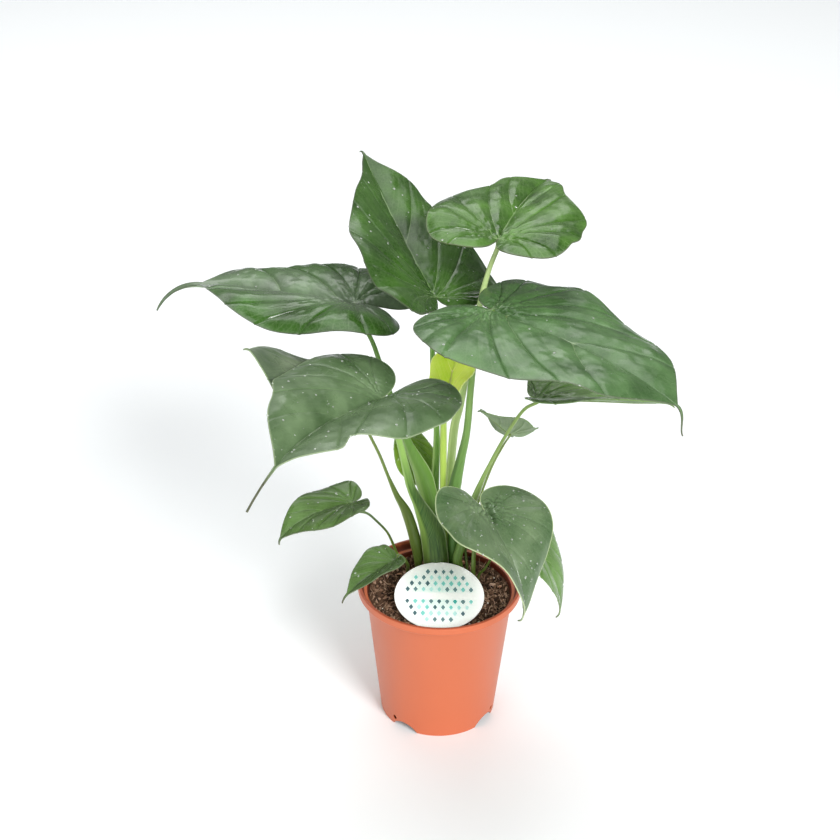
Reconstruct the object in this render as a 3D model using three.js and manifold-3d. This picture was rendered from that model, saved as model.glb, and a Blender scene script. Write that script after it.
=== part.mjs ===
import * as THREE from 'three';
import { mergeVertices } from 'three/addons/utils/BufferGeometryUtils.js';
import Module from 'manifold-3d';

// Potted Chinese taro. Millimetres, +Z up, origin under the centre of the pot, viewer on the -Y side.

const potHeight = 110.5;
const rimRadius = 60;
const rimInside = 57.3;
const bodyTopRadius = 54;
const footRadius = 42.9;
const wallThickness = 1.3;
const footWidth = 1.8;
const floorUnderside = 7;
const floorTop = 9;
const bossRadius = 14;
const archCount = 4;
const archFirst = -34.5;
const archSpan = 29;
const archHeight = 6.5;
const drainRadius = 1.9;
const drainAside = 12;
const cutterLength = 12;
const soilTop = 96.2;
const soilBump = 0.7;
const heapFrom = 44;
const heapHeight = 4.5;
const soilClear = 0.3;
const labelRadius = 32.8;
const labelThickness = 0.8;
const labelTilt = 13;
const labelCentre = [0, -11.2, 104.9];
const bladeThickness = 0.7;
const footDepth = 87;
const footExit = 100;
const footClear = 0.4;
const stemNeck = 6.5;
const stemClear = 0.5;
const stemSides = 8;
const turnedSides = 48;

const potColour = 0xe67e59;
const soilColour = 0x4a3428;
const labelColour = 0xf7f8f5;
const bladeColour = 0x3f6b33;
const youngColour = 0xa9cf3c;
const stemColour = 0x7ba54a;

// One entry for each leaf. "at" is where the stem meets the blade, angles are in degrees: heading
// of the midrib, its pitch and roll there, then how it droops, swings and twists on the way to the tip.
// left and right widen or narrow the margin at four places between stem and tip. Stem stations are
// x, y, z, width and thickness, and foot is x, y, width and thickness in the soil. tailRoll turns the
// drip tip about its length, and neck is the straight end of a stem where it isn't stemNeck.
const leaves = [
  {
    name: 'leaf_01', at: [-6, 21, 330], heading: 118, pitch: 27, roll: 20,
    length: 134, lobe: 12, half: 57, tail: 10, tipHalf: 1.2, full: 0.4,
    droop: -1, swing: -4, twist: -3, fold: 20, curl: 24, lobeLift: 29, lobeFold: 16,
    wave: [2.6, 2, 250, 210], tailBend: [64, -2],
    left: [2, 3, -1, -5.5], right: [1.5, -3.5, -5, 6.5],
    foot: [-3.5, 42, 8, 4.5],
    stem: [
      [-5, 41, 154.5, 7.5, 4.5], [-4.5, 39.5, 179, 6, 4.5], [-4, 36, 217, 4.4, 4],
      [-7, 36, 259.5, 4, 3.8], [-8, 33, 287.5, 3.6, 3.4],
    ],
  },
  {
    name: 'leaf_02', at: [35, 16, 376], heading: 74, pitch: 4, roll: 2,
    length: 109, lobe: 24, half: 52, tail: 10, tipHalf: 1.2, full: 0.4,
    droop: 8, swing: -10, twist: -2, fold: 26, curl: 37, lobeLift: -6, lobeFold: -14,
    wave: [4.8, 1.1, 30, 85], tailBend: [27, -1],
    left: [-1, 0, -8, 0.5], right: [2.5, 5, -4, 2.5],
    foot: [9, 44, 7, 4.5],
    stem: [
      [6.5, 41, 154.5, 6.5, 4.5], [6.5, 39, 175, 6, 4.5], [8.5, 35, 218, 6.4, 4.5],
      [12.5, 34.5, 239, 5.6, 4.5], [16.5, 34, 266, 5, 4.4], [21.5, 26, 302.5, 4.6, 4.2],
      [25.5, 14.5, 336, 4.2, 3.8], [30, 15, 355.5, 3.4, 3.4],
    ],
  },
  {
    name: 'leaf_03', at: [31, -19, 341], heading: -40, pitch: 1, roll: -2,
    length: 152, lobe: 23, half: 69, tail: 22.5, tipHalf: 1.2, full: 0.9,
    droop: 17, swing: -5, twist: -5, fold: 2, curl: 12, lobeLift: 3, lobeFold: 6,
    wave: [5.6, 1.7, 275, 65], tailBend: [104, -99],
    left: [1.5, -1.5, 1, 3], right: [7.5, -3, 0, 10],
    foot: [10.5, 30, 9, 5],
    stem: [
      [9.5, 24, 165.5, 9.5, 5], [10.5, 21, 182.5, 9, 5], [14, 18, 205.5, 6.5, 5],
      [17.5, 14, 230, 5.2, 5], [19.5, 15, 263.5, 4.8, 4.8], [22, 10, 299, 4.6, 4.6],
      [26, -8, 323, 4, 4],
    ],
  },
  {
    name: 'leaf_04', at: [-62, 30, 320], heading: 164, pitch: -1, roll: 3,
    length: 118, lobe: 37, half: 61, tail: 44, tipHalf: 4.6, full: 1,
    droop: 4.5, swing: -5, twist: 6, fold: 26, curl: 53, lobeLift: 34, lobeFold: 2,
    wave: [4.5, 1.3, 25, 215], tailBend: [58, 14], tailRoll: -60,
    left: [1, 0.5, 1, 0.5], right: [0, 0, -3, 14],
    foot: [-5.5, 32.5, 12, 4.5],
    stem: [
      [-7, 32, 147, 13, 4.2], [-12.5, 31, 178, 14, 3.8], [-19.5, 30, 197, 10, 4],
      [-25, 29, 211.5, 6.2, 4], [-34, 28, 239, 4.6, 4], [-44.5, 28, 275, 3.5, 3.4],
      [-51, 29, 294, 3.2, 3.2],
    ],
  },
  {
    name: 'leaf_05', at: [-40, -60, 295], heading: 238, pitch: 12, roll: -3,
    length: 127, lobe: 34, half: 59, tail: 46, tipHalf: 1.2, full: 0.5,
    droop: 15, swing: 13, twist: -11, fold: 33, curl: 51, lobeLift: -19, lobeFold: -2,
    wave: [3.7, 1.6, 285, 85], tailBend: [5, 5],
    left: [3.5, 0, -11, 11], right: [0, -2, -4.5, 1],
    foot: [-2, 24.7, 19, 5.5],
    stem: [
      [-5.5, 21, 135.5, 19, 5.5], [-11.5, 17, 155.5, 13.5, 5], [-16, 13, 169, 9.5, 4.6],
      [-21.5, 8, 185, 5, 4.4], [-24, 3, 199, 4, 4], [-26.5, -5, 216, 3.8, 3.8],
      [-30, -18, 241, 3.6, 3.6], [-34.5, -37, 267.5, 3.4, 3.4],
    ],
  },
  {
    name: 'leaf_06', at: [-66, -21, 289], heading: 208, pitch: 20, roll: -22,
    length: 81, lobe: 22, half: 40, tail: 6, tipHalf: 1.2, full: 0.5,
    droop: -24, swing: 15, twist: -4, fold: -8, curl: 44, lobeLift: 0, lobeFold: 0,
    wave: [4.5, 1.5, 245, 190], tailBend: [37, 10],
    left: [0, 0, 0, 0], right: [0, 0, 0, 0],
    foot: [-16, 32, 5, 4],
    stem: [
      [-19, 31, 120, 6, 4], [-26, 28, 150, 6, 3.6], [-33, 25, 168, 3.2, 2.8],
      [-38.5, 21, 186.5, 2.4, 2.3], [-44.5, 15, 208, 2.2, 2.2], [-52, 7, 231, 2.2, 2.2],
      [-60, -6, 260, 2.2, 2.2],
    ],
  },
  {
    name: 'leaf_07', at: [-63, -10, 183], heading: 203, pitch: 1, roll: 6,
    length: 58, lobe: 11, half: 26, tail: 6, tipHalf: 1.2, full: 0.5,
    droop: 50, swing: -1, twist: -19, fold: 15, curl: 19, lobeLift: -25, lobeFold: 6,
    wave: [2.7, 1.4, 345, 75], tailBend: [50, -2],
    left: [0, 0, 0.5, 0], right: [0, 0, 0, 0],
    foot: [-28, 40, 2.4, 2.4],
    stem: [
      [-32.5, 38, 108.5, 2.2, 2.2], [-35.5, 34, 120, 2, 2], [-39.5, 27, 134.5, 1.8, 1.8],
      [-46.5, 15, 151.5, 1.8, 1.8], [-53.5, 1, 167.5, 1.8, 1.8],
    ],
  },
  {
    name: 'leaf_08', at: [-33, -20, 141], heading: 217, pitch: -9, roll: 11,
    length: 42, lobe: 6, half: 19, tail: 8, tipHalf: 1.2, full: 0.5,
    droop: 30, swing: -8, twist: -11, fold: 20, curl: 2, lobeLift: -29, lobeFold: 11,
    wave: [-1.4, 1.7, 300, 150], tailBend: [35, -6],
    left: [0, 0, 0, 0], right: [0, 0, 0, 0],
    foot: [-24, 28, 2.8, 2.8],
    stem: [
      [-24, 22, 109, 2.6, 2.6], [-27, 8, 124.5, 2.2, 2.2], [-30.5, -8, 137, 2, 2],
    ],
  },
  {
    name: 'leaf_09', at: [30, -32, 192], heading: -62, pitch: -11, roll: -19,
    length: 86, lobe: 19, half: 43, tail: 10, tipHalf: 1.2, full: 0.3,
    droop: 87, swing: 11, twist: -16, fold: 24, curl: 31, lobeLift: 0, lobeFold: 2,
    wave: [9.6, 0.8, 355, 180], tailBend: [54, -10],
    left: [0, 0.5, 1.5, -1.5], right: [1, 4, -5.5, -0.5],
    foot: [25, 17, 3.4, 3.4],
    stem: [
      [25, 12, 127.5, 3.2, 3.2], [26.5, -2, 156.5, 3, 3], [27.5, -17, 179, 2.8, 2.8],
    ],
  },
  {
    name: 'leaf_10', at: [62, -13, 164], heading: -23, pitch: -52, roll: -9,
    length: 68, lobe: 18, half: 33, tail: 8, tipHalf: 1.2, full: 0.3,
    droop: 35, swing: -2, twist: -6, fold: 12, curl: 13, lobeLift: 0, lobeFold: 0,
    wave: [1, 1.5, 345, 105], tailBend: [45, -5],
    left: [0, 0, 0, 0], right: [0, 0, 0, 0],
    foot: [29, 22, 2, 2],
    stem: [
      [33.5, 20, 108, 1.8, 1.8], [38, 17, 119, 1.7, 1.7], [46, 12, 136.5, 1.7, 1.7],
      [55.5, 2, 153.5, 1.7, 1.7],
    ],
  },
  {
    name: 'leaf_11', at: [65, -8, 269], heading: -5, pitch: 3, roll: -16,
    length: 87, lobe: 8, half: 37, tail: 8, tipHalf: 1.2, full: 0.5,
    droop: 9, swing: 9, twist: -6, fold: 11, curl: 6, lobeLift: -3, lobeFold: 3,
    wave: [1.4, 1.5, 15, 125], tailBend: [39, 0],
    left: [0, 2, 6, 6], right: [0, 0, 0, 0],
    foot: [16, 22, 7, 5], neck: 3,
    stem: [
      [13, 22.5, 114, 7, 4.6], [16, 21.5, 129.5, 7, 4.4], [20, 19.5, 152, 6.4, 4],
      [24.5, 17.5, 171.5, 5.4, 3.6], [29.5, 15, 188.5, 3.6, 3], [34.5, 12, 203.5, 2.7, 2.6],
      [41.5, 8, 222.5, 2.5, 2.5], [49.5, 3, 242, 2.5, 2.5], [57, -2, 257, 2.4, 2.4],
    ],
  },
  {
    name: 'leaf_12', at: [49, 33, 217], heading: 223, pitch: 47, roll: 20,
    length: 42.5, lobe: 12, half: 23, tail: 5, tipHalf: 1.2, full: 0.3,
    droop: 7, swing: 7, twist: -23, fold: 16, curl: -7, lobeLift: -10, lobeFold: 3,
    wave: [2.7, 1.4, 125, 175], tailBend: [27, 2],
    left: [0, 0, 0, 0], right: [0, 0, 0, 0],
    foot: [20.5, 31, 2.2, 2.2], neck: 2.5,
    stem: [
      [19.5, 38, 119, 2, 2], [27, 42, 149.5, 1.8, 1.8], [36.5, 44, 181, 1.7, 1.7],
      [44.5, 43, 200.5, 1.6, 1.6],
    ],
  },
  {
    name: 'leaf_13', at: [-24, 60, 197], heading: -59, pitch: -50, roll: -35,
    length: 39, lobe: 11, half: 21, tail: 5, tipHalf: 1.2, full: 0.8,
    droop: 20, swing: -8, twist: 55, fold: 6, curl: 16, lobeLift: -18, lobeFold: 1,
    wave: [0.5, 1.6, 350, 145], tailBend: [20, 0],
    left: [0, 0, 0, 0], right: [0, 0, 0, 0],
    foot: [-10, 47, 3, 3],
    stem: [
      [-8, 56, 127, 2.8, 2.8], [-14.5, 66, 154.5, 2.6, 2.6], [-21, 71, 173.5, 2.4, 2.4],
      [-23.5, 69, 185, 2.2, 2.2],
    ],
  },
  {
    name: 'leaf_14', at: [3, -4, 267.5], heading: 74, pitch: 46, roll: -30,
    length: 44, lobe: 12, half: 22, tail: 5, tipHalf: 1.2, full: 0.6,
    droop: 25, swing: 1, twist: 9, fold: 17, curl: 9, lobeLift: 0, lobeFold: 1,
    wave: [6, 1.4, 50, 285], tailBend: [40, 0],
    left: [0, -0.5, 0.5, 0], right: [0, 0, 0, 0],
    foot: [5, 38, 5.5, 4.5],
    stem: [
      [2, 33, 159.5, 5.2, 4.5], [1.5, 30, 180.5, 5.2, 4.5], [1, 21.5, 217.5, 5, 4.5],
      [1.5, 8, 248, 4.2, 3.8],
    ],
  },
];

const wasm = await Module();
wasm.setup();

const radians = THREE.MathUtils.degToRad;

// Solids and their booleans

function closed(geometry) {
  const bare = geometry.index ? geometry.toNonIndexed() : geometry.clone();
  bare.deleteAttribute('normal');
  bare.deleteAttribute('uv');
  const merged = mergeVertices(bare, 1e-3);
  const position = merged.attributes.position;
  const kept = [];
  let volume = 0;
  const [a, b, c] = [new THREE.Vector3(), new THREE.Vector3(), new THREE.Vector3()];
  for (let i = 0; i < merged.index.count; i += 3) {
    const corner = [0, 1, 2].map((k) => merged.index.getX(i + k));
    if (new Set(corner).size < 3) continue;
    kept.push(...corner);
    a.fromBufferAttribute(position, corner[0]);
    b.fromBufferAttribute(position, corner[1]);
    c.fromBufferAttribute(position, corner[2]);
    volume += a.dot(b.cross(c));
  }
  if (volume < 0) kept.reverse();
  merged.setIndex(kept);
  merged.computeVertexNormals();
  return merged;
}

function toManifold(geometry) {
  const solid = closed(geometry);
  return new wasm.Manifold(new wasm.Mesh({
    numProp: 3,
    vertProperties: new Float32Array(solid.attributes.position.array),
    triVerts: new Uint32Array(solid.index.array),
  }));
}

function fromManifold(solid) {
  const mesh = solid.getMesh();
  const geometry = new THREE.BufferGeometry();
  geometry.setAttribute('position', new THREE.BufferAttribute(new Float32Array(mesh.vertProperties), 3));
  geometry.setIndex(Array.from(mesh.triVerts));
  geometry.computeVertexNormals();
  return geometry;
}

// Pot: a turned wall, floor and rolled rim, with arches and drain holes cut between its feet

const taper = (bodyTopRadius - footRadius) / (potHeight - 7);
const wallInside = (z) => footRadius + taper * z - wallThickness;

function makePot() {
  const profile = [
    [0, 0], [bossRadius, 0], [bossRadius + 1, floorUnderside], [footRadius - footWidth, floorUnderside],
    [footRadius - footWidth, 0], [footRadius, 0], [bodyTopRadius, potHeight - 7],
    [rimRadius - 0.8, potHeight - 6.4], [rimRadius, potHeight - 5.6], [rimRadius, potHeight - 1.2],
    [rimRadius - 0.9, potHeight], [rimInside + 0.5, potHeight], [rimInside, potHeight - 0.8],
    [rimInside - 0.4, potHeight - 4.6], [wallInside(potHeight - 6.6), potHeight - 6.6],
    [wallInside(floorTop), floorTop], [0, floorTop],
  ];
  const turned = new THREE.LatheGeometry(profile.map(([r, z]) => new THREE.Vector2(r, z)), turnedSides);
  let pot = toManifold(turned.rotateX(Math.PI / 2));
  const halfChord = footRadius * Math.sin(radians(archSpan / 2));
  const archRadius = (halfChord ** 2 + archHeight ** 2) / (2 * archHeight);
  const bore = (radius, azimuth, height, sides) => {
    const cutter = new THREE.CylinderGeometry(radius, radius, cutterLength, sides);
    cutter.translate(0, -footRadius, 0);
    cutter.rotateZ(radians(azimuth));
    cutter.translate(0, 0, height);
    pot = pot.subtract(toManifold(cutter));
  };
  for (let i = 0; i < archCount; i += 1) {
    const azimuth = archFirst + i * 360 / archCount;
    bore(archRadius, azimuth, archHeight - archRadius, 40);
    bore(drainRadius, azimuth + (i % 2 ? drainAside : -drainAside), floorUnderside, 16);
  }
  return fromManifold(pot);
}

// Soil: a filling with a lumpy top that is heaped against the wall, and a plain hole for each stem

function soilHeight(x, y) {
  const coarse = Math.sin(x * 0.31 + 1.3) * Math.cos(y * 0.27 - 0.4);
  const fine = Math.sin(x * 0.57 - y * 0.43 + 2.1);
  const share = (Math.hypot(x, y) - heapFrom) / (wallInside(soilTop + heapHeight) - heapFrom);
  const heap = heapHeight * THREE.MathUtils.clamp(share, 0, 1);
  return soilTop + soilBump * (0.6 * coarse + 0.4 * fine) + heap;
}

function makeSoil() {
  const base = floorTop + soilClear;
  const brim = soilTop + heapHeight;
  const top = wallInside(brim) - soilClear;
  const profile = [[0, base], [wallInside(base) - soilClear, base], [top, brim]];
  for (const share of [0.93, 0.84, 0.68, 0.52, 0.36, 0.18, 0]) profile.push([top * share, soilTop]);
  const turned = new THREE.LatheGeometry(profile.map(([r, z]) => new THREE.Vector2(r, z)), turnedSides);
  turned.rotateX(Math.PI / 2);
  const position = turned.attributes.position;
  for (let i = 0; i < position.count; i += 1) {
    const [x, y] = [position.getX(i), position.getY(i)];
    if (position.getZ(i) > soilTop - 1 && Math.hypot(x, y) < top - 1) {
      position.setZ(i, soilHeight(x, y));
    }
  }
  let soil = toManifold(turned);
  for (const leaf of leaves) {
    const [x, y, width, thickness] = leaf.foot;
    const hole = new THREE.CylinderGeometry(1, 1, 30, stemSides);
    hole.rotateX(Math.PI / 2);
    hole.scale(width / 2 + footClear, thickness / 2 + footClear, 1);
    hole.translate(x, y, footDepth - footClear + 15);
    soil = soil.subtract(toManifold(hole));
  }
  return fromManifold(soil);
}

// Label: a round card lying on the soil, tilted up against the foot of the stems

function makeLabel() {
  const disc = new THREE.CylinderGeometry(labelRadius, labelRadius, labelThickness, 48);
  disc.rotateX(Math.PI / 2 + radians(labelTilt));
  disc.translate(...labelCentre);
  return closed(disc);
}

// Blades: a heart-shaped outline, ribs that follow its side veins, and a bent, folded and waved form

function bend(leaf) {
  const steps = 160;
  const start = -leaf.lobe * 1.05;
  const step = (leaf.length + leaf.tail - start) / steps;
  const stations = [];
  const point = new THREE.Vector3();
  const direction = (x) => {
    const way = THREE.MathUtils.clamp(x / leaf.length, 0, 1);
    const back = Math.max(-x / leaf.lobe, 0);
    const beyond = THREE.MathUtils.clamp((x - leaf.length) / leaf.tail, 0, 1);
    const [tailDrop, tailSwing] = leaf.tailBend;
    const pitch = leaf.pitch - leaf.droop * way ** 1.6 + leaf.lobeLift * back - tailDrop * beyond;
    const heading = leaf.heading + leaf.swing * way ** 2 + tailSwing * beyond;
    return [radians(pitch), radians(heading)];
  };
  const tangent = (x) => {
    const [pitch, heading] = direction(x);
    const flat = Math.cos(pitch);
    return new THREE.Vector3(flat * Math.cos(heading), flat * Math.sin(heading), Math.sin(pitch));
  };
  for (let i = 0; i <= steps; i += 1) {
    stations.push(point.clone());
    const x = start + i * step;
    point.add(tangent(x).add(tangent(x + step)).multiplyScalar(step / 2));
  }
  const along = (x) => {
    const place = THREE.MathUtils.clamp((x - start) / step, 0, steps - 1e-6);
    const i = Math.floor(place);
    return stations[i].clone().lerp(stations[i + 1], place - i);
  };
  const zero = along(0);
  return (x) => {
    const [, heading] = direction(x);
    const level = new THREE.Vector3(-Math.sin(heading), Math.cos(heading), 0);
    const forward = tangent(x);
    const upright = forward.clone().cross(level);
    const twist = leaf.twist * THREE.MathUtils.clamp(x / leaf.length, -1, 1);
    const beyond = THREE.MathUtils.clamp((x - leaf.length) / leaf.tail, 0, 1);
    const roll = radians(leaf.roll + twist + (leaf.tailRoll ?? 0) * beyond);
    const side = level.clone().multiplyScalar(Math.cos(roll)).addScaledVector(upright, Math.sin(roll));
    const up = upright.clone().multiplyScalar(Math.cos(roll)).addScaledVector(level, -Math.sin(roll));
    return { centre: along(x).sub(zero), side, up };
  };
}

function marginPoints(leaf, hand) {
  const { length, lobe, half, tail, tipHalf, full } = leaf;
  const counts = length > 75 ? [3, 4, 8, tail > 20 ? 4 : 2] : [2, 3, 6, 1];
  const flat = (x, y) => new THREE.Vector2(x, y);
  const sinus = new THREE.CubicBezierCurve(
    flat(0, 0), flat(-0.5 * lobe, 0.02 * half), flat(-lobe, 0.08 * half), flat(-lobe, 0.42 * half));
  const shoulder = new THREE.CubicBezierCurve(
    flat(-lobe, 0.42 * half), flat(-lobe, 0.8 * half),
    flat(-0.14 * length, half), flat(0.13 * length, half));
  const flank = new THREE.CubicBezierCurve(
    flat(0.13 * length, half), flat((0.46 + 0.16 * full) * length, half),
    flat((0.78 + 0.04 * full) * length, (0.2 + 0.3 * full) * half), flat(length, tipHalf));
  const drip = new THREE.LineCurve(flat(length, tipHalf), flat(length + tail, 0.4));
  const points = [
    ...sinus.getPoints(counts[0]).slice(0, -1),
    ...shoulder.getPoints(counts[1]).slice(0, -1),
    ...flank.getPoints(counts[2]),
    ...drip.getPoints(counts[3]).slice(1),
  ];
  const bulges = hand > 0 ? leaf.left : leaf.right;
  for (const point of points) {
    const fade = THREE.MathUtils.clamp((length - point.x) / (0.1 * length), 0, 1)
      * THREE.MathUtils.clamp(point.y / (0.5 * half), 0, 1);
    bulges.forEach((bulge, i) => {
      const away = (point.x / length - (0.12 + 0.24 * i)) / 0.11;
      point.y += fade * bulge * Math.exp(-away * away);
    });
  }
  return points;
}

function formed(leaf, frames, x, y, hand) {
  const { half, fold, curl, lobe, length, lobeFold, wave } = leaf;
  const { centre, side, up } = frames(x);
  const crease = radians(fold + lobeFold * Math.max(-x / lobe, 0));
  const turn = radians(curl);
  const share = y / half;
  const across = half / turn * (Math.sin(crease) - Math.sin(crease - turn * share));
  const [height, count, phase, lag] = wave;
  const cycle = 2 * Math.PI * count * (x + lobe) / (length + lobe)
    + radians(hand > 0 ? phase : phase + lag);
  const lift = half / turn * (Math.cos(crease - turn * share) - Math.cos(crease))
    + height * share * share * Math.sin(cycle);
  return new THREE.Vector3(...leaf.at).add(centre).addScaledVector(side, hand * across)
    .addScaledVector(up, lift);
}

function makeBlade(leaf) {
  const frames = bend(leaf);
  const rows = leaf.length > 75 ? 3 : 2;
  const points = [];
  const keys = new Map();
  const faces = [];
  const vertex = (point) => {
    const key = point.toArray().map((value) => Math.round(value * 500)).join();
    if (!keys.has(key)) {
      keys.set(key, points.length);
      points.push(point);
    }
    return keys.get(key);
  };
  const face = (a, b, c) => {
    if (a !== b && b !== c && c !== a) faces.push([a, b, c]);
  };
  for (const hand of [1, -1]) {
    const grid = marginPoints(leaf, hand).map((edge) => {
      const reach = THREE.MathUtils.clamp((edge.x / leaf.length - 0.3) / 0.7, 0, 1);
      const root = edge.x < leaf.length ? leaf.length * reach ** 1.4 : edge.x;
      const rib = new THREE.QuadraticBezierCurve(
        new THREE.Vector2(root, 0), new THREE.Vector2(root + (edge.x - root) * 0.42, edge.y * 0.6), edge);
      return rib.getPoints(rows).map(({ x, y }) => vertex(formed(leaf, frames, x, y, hand)));
    });
    for (let i = 0; i + 1 < grid.length; i += 1) {
      for (let j = 0; j < rows; j += 1) {
        const [a, b, c, d] = [grid[i][j], grid[i][j + 1], grid[i + 1][j + 1], grid[i + 1][j]];
        if (hand > 0) {
          face(a, c, b);
          face(a, d, c);
        } else {
          face(a, b, c);
          face(a, c, d);
        }
      }
    }
  }
  return thicken(points, faces, bladeThickness);
}

// A sheet of triangles grows alike to both sides, and its free edges are closed
function thicken(points, faces, thickness) {
  const normals = points.map(() => new THREE.Vector3());
  const edges = new Map();
  for (const [a, b, c] of faces) {
    const normal = points[b].clone().sub(points[a]).cross(points[c].clone().sub(points[a]));
    for (const i of [a, b, c]) normals[i].add(normal);
    for (const [i, j] of [[a, b], [b, c], [c, a]]) {
      if (!edges.delete(`${j},${i}`)) edges.set(`${i},${j}`, [i, j]);
    }
  }
  const count = points.length;
  const corners = [];
  for (const way of [0.5, -0.5]) {
    points.forEach((point, i) => {
      const moved = point.clone().addScaledVector(normals[i].clone().normalize(), way * thickness);
      corners.push(...moved.toArray());
    });
  }
  const index = [];
  for (const [a, b, c] of faces) {
    index.push(a, b, c);
    index.push(a + count, c + count, b + count);
  }
  for (const [a, b] of edges.values()) {
    index.push(b, a, a + count);
    index.push(b, a + count, b + count);
  }
  const geometry = new THREE.BufferGeometry();
  geometry.setAttribute('position', new THREE.Float32BufferAttribute(corners, 3));
  geometry.setIndex(index);
  return closed(geometry);
}

// Stems: an oval section led from the soil to just under the blade, broad where it sheathes the shoot

function makeStem(leaf) {
  const up = bend(leaf)(0).up;
  const end = new THREE.Vector3(...leaf.at);
  const [x, y, width, thickness] = leaf.foot;
  const last = leaf.stem[leaf.stem.length - 1];
  const under = end.clone().addScaledVector(up, -(leaf.neck ?? stemNeck));
  const tip = end.clone().addScaledVector(up, -bladeThickness / 2 - stemClear);
  const stations = [
    [x, y, footDepth, width, thickness],
    [x, y, footExit, width, thickness],
    ...leaf.stem,
    [...under.toArray(), last[3] * 0.95, last[4] * 0.95],
    [...tip.toArray(), last[3] * 0.9, last[4] * 0.9],
  ];
  const places = stations.map((station) => new THREE.Vector3(...station.slice(0, 3)));
  const path = new THREE.CatmullRomCurve3(places, false, 'catmullrom', 0.5);
  const size = (t, column) => {
    const place = Math.min(t * (stations.length - 1), stations.length - 1.000001);
    const i = Math.floor(place);
    return THREE.MathUtils.lerp(stations[i][column], stations[i + 1][column], place - i);
  };
  const rings = 2 * (stations.length - 1);
  const corners = [];
  for (let k = 0; k <= rings; k += 1) {
    const t = k / rings;
    const centre = path.getPoint(t);
    const ahead = k === rings ? up : path.getTangent(t);
    if (k === 1) centre.set(x, y, (footDepth + footExit) / 2);
    if (k < 3) ahead.set(0, 0, 1);
    const broad = new THREE.Vector3(1, 0, 0);
    broad.addScaledVector(ahead, -ahead.x).normalize();
    const deep = ahead.clone().cross(broad);
    for (let i = 0; i < stemSides; i += 1) {
      const angle = 2 * Math.PI * i / stemSides;
      const corner = centre.clone()
        .addScaledVector(broad, size(t, 3) / 2 * Math.cos(angle))
        .addScaledVector(deep, size(t, 4) / 2 * Math.sin(angle));
      corners.push(...corner.toArray());
    }
  }
  corners.push(...path.getPoint(0).toArray(), ...path.getPoint(1).toArray());
  const index = [];
  const bottom = (rings + 1) * stemSides;
  for (let i = 0; i < stemSides; i += 1) {
    const next = (i + 1) % stemSides;
    for (let k = 0; k < rings; k += 1) {
      const [a, b] = [k * stemSides + i, k * stemSides + next];
      index.push(a, b, b + stemSides);
      index.push(a, b + stemSides, a + stemSides);
    }
    index.push(bottom, next, i);
    index.push(bottom + 1, rings * stemSides + i, rings * stemSides + next);
  }
  const geometry = new THREE.BufferGeometry();
  geometry.setAttribute('position', new THREE.Float32BufferAttribute(corners, 3));
  geometry.setIndex(index);
  return closed(geometry);
}

// The assembly

const plant = new THREE.Group();

function add(name, geometry, colour, roughness) {
  const mesh = new THREE.Mesh(geometry, new THREE.MeshStandardMaterial({ color: colour, roughness }));
  mesh.name = name;
  plant.add(mesh);
}

add('pot', makePot(), potColour, 0.55);
add('soil', makeSoil(), soilColour, 0.95);
add('label', makeLabel(), labelColour, 0.45);
for (const leaf of leaves) {
  const young = leaf.name === 'leaf_14';
  add(`${leaf.name}_petiole`, makeStem(leaf), young ? youngColour : stemColour, 0.5);
  add(`${leaf.name}_blade`, makeBlade(leaf), young ? youngColour : bladeColour, 0.35);
}

export default plant;
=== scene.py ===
import math

import bpy
import numpy as np
from mathutils import Matrix, Vector


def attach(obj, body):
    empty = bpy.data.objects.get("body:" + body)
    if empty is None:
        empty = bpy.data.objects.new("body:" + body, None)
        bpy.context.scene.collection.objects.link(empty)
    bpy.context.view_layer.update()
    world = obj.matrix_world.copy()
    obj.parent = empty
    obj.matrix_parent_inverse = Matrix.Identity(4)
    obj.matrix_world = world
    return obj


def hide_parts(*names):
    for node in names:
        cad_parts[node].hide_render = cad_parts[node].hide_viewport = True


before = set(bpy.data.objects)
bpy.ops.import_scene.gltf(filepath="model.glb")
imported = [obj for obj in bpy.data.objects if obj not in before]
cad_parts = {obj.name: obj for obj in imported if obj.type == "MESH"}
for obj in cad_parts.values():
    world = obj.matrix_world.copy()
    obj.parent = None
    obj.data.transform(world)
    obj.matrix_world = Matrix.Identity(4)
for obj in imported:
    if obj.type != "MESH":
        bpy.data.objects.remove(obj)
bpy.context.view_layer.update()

# Potted Chinese taro. The values below are millimetres in the frame of the part: origin under
# the pot, +Z up, viewer on the -Y side. Blender works in metres, so meshes are scaled by mm.
mm = 0.001
chance = np.random.default_rng(41)


def unit(value):  # held between 0 and 1
    return np.clip(value, 0, 1)


def linear(colour):  # sRGB hex to the linear colour that shaders take
    parts = [int(colour[i:i + 2], 16) / 255 for i in (1, 3, 5)]
    return tuple(c / 12.92 if c < 0.04045 else ((c + 0.055) / 1.055) ** 2.4 for c in parts) + (1,)


def addNode(tree, kind, inputs=(), stops=(), **settings):
    made = tree.nodes.new("ShaderNode" + kind)
    for key, value in settings.items():
        setattr(made, key, value)
    for key, value in dict(inputs).items():
        if isinstance(value, bpy.types.NodeSocket):
            tree.links.new(value, made.inputs[key])
        else:
            made.inputs[key].default_value = linear(value) if isinstance(value, str) else value
    for i, (place, colour) in enumerate(stops):
        elements = made.color_ramp.elements
        element = elements[i] if i < 2 else elements.new(place)
        element.position = place
        element.color = linear(colour)
    return made


def newMaterial(name, **constants):
    material = bpy.data.materials.new(name)
    material.use_nodes = True
    shader = material.node_tree.nodes["Principled BSDF"]
    for socket, value in constants.items():
        shader.inputs[socket.replace("_", " ")].default_value = value
    return material, material.node_tree, shader


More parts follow.
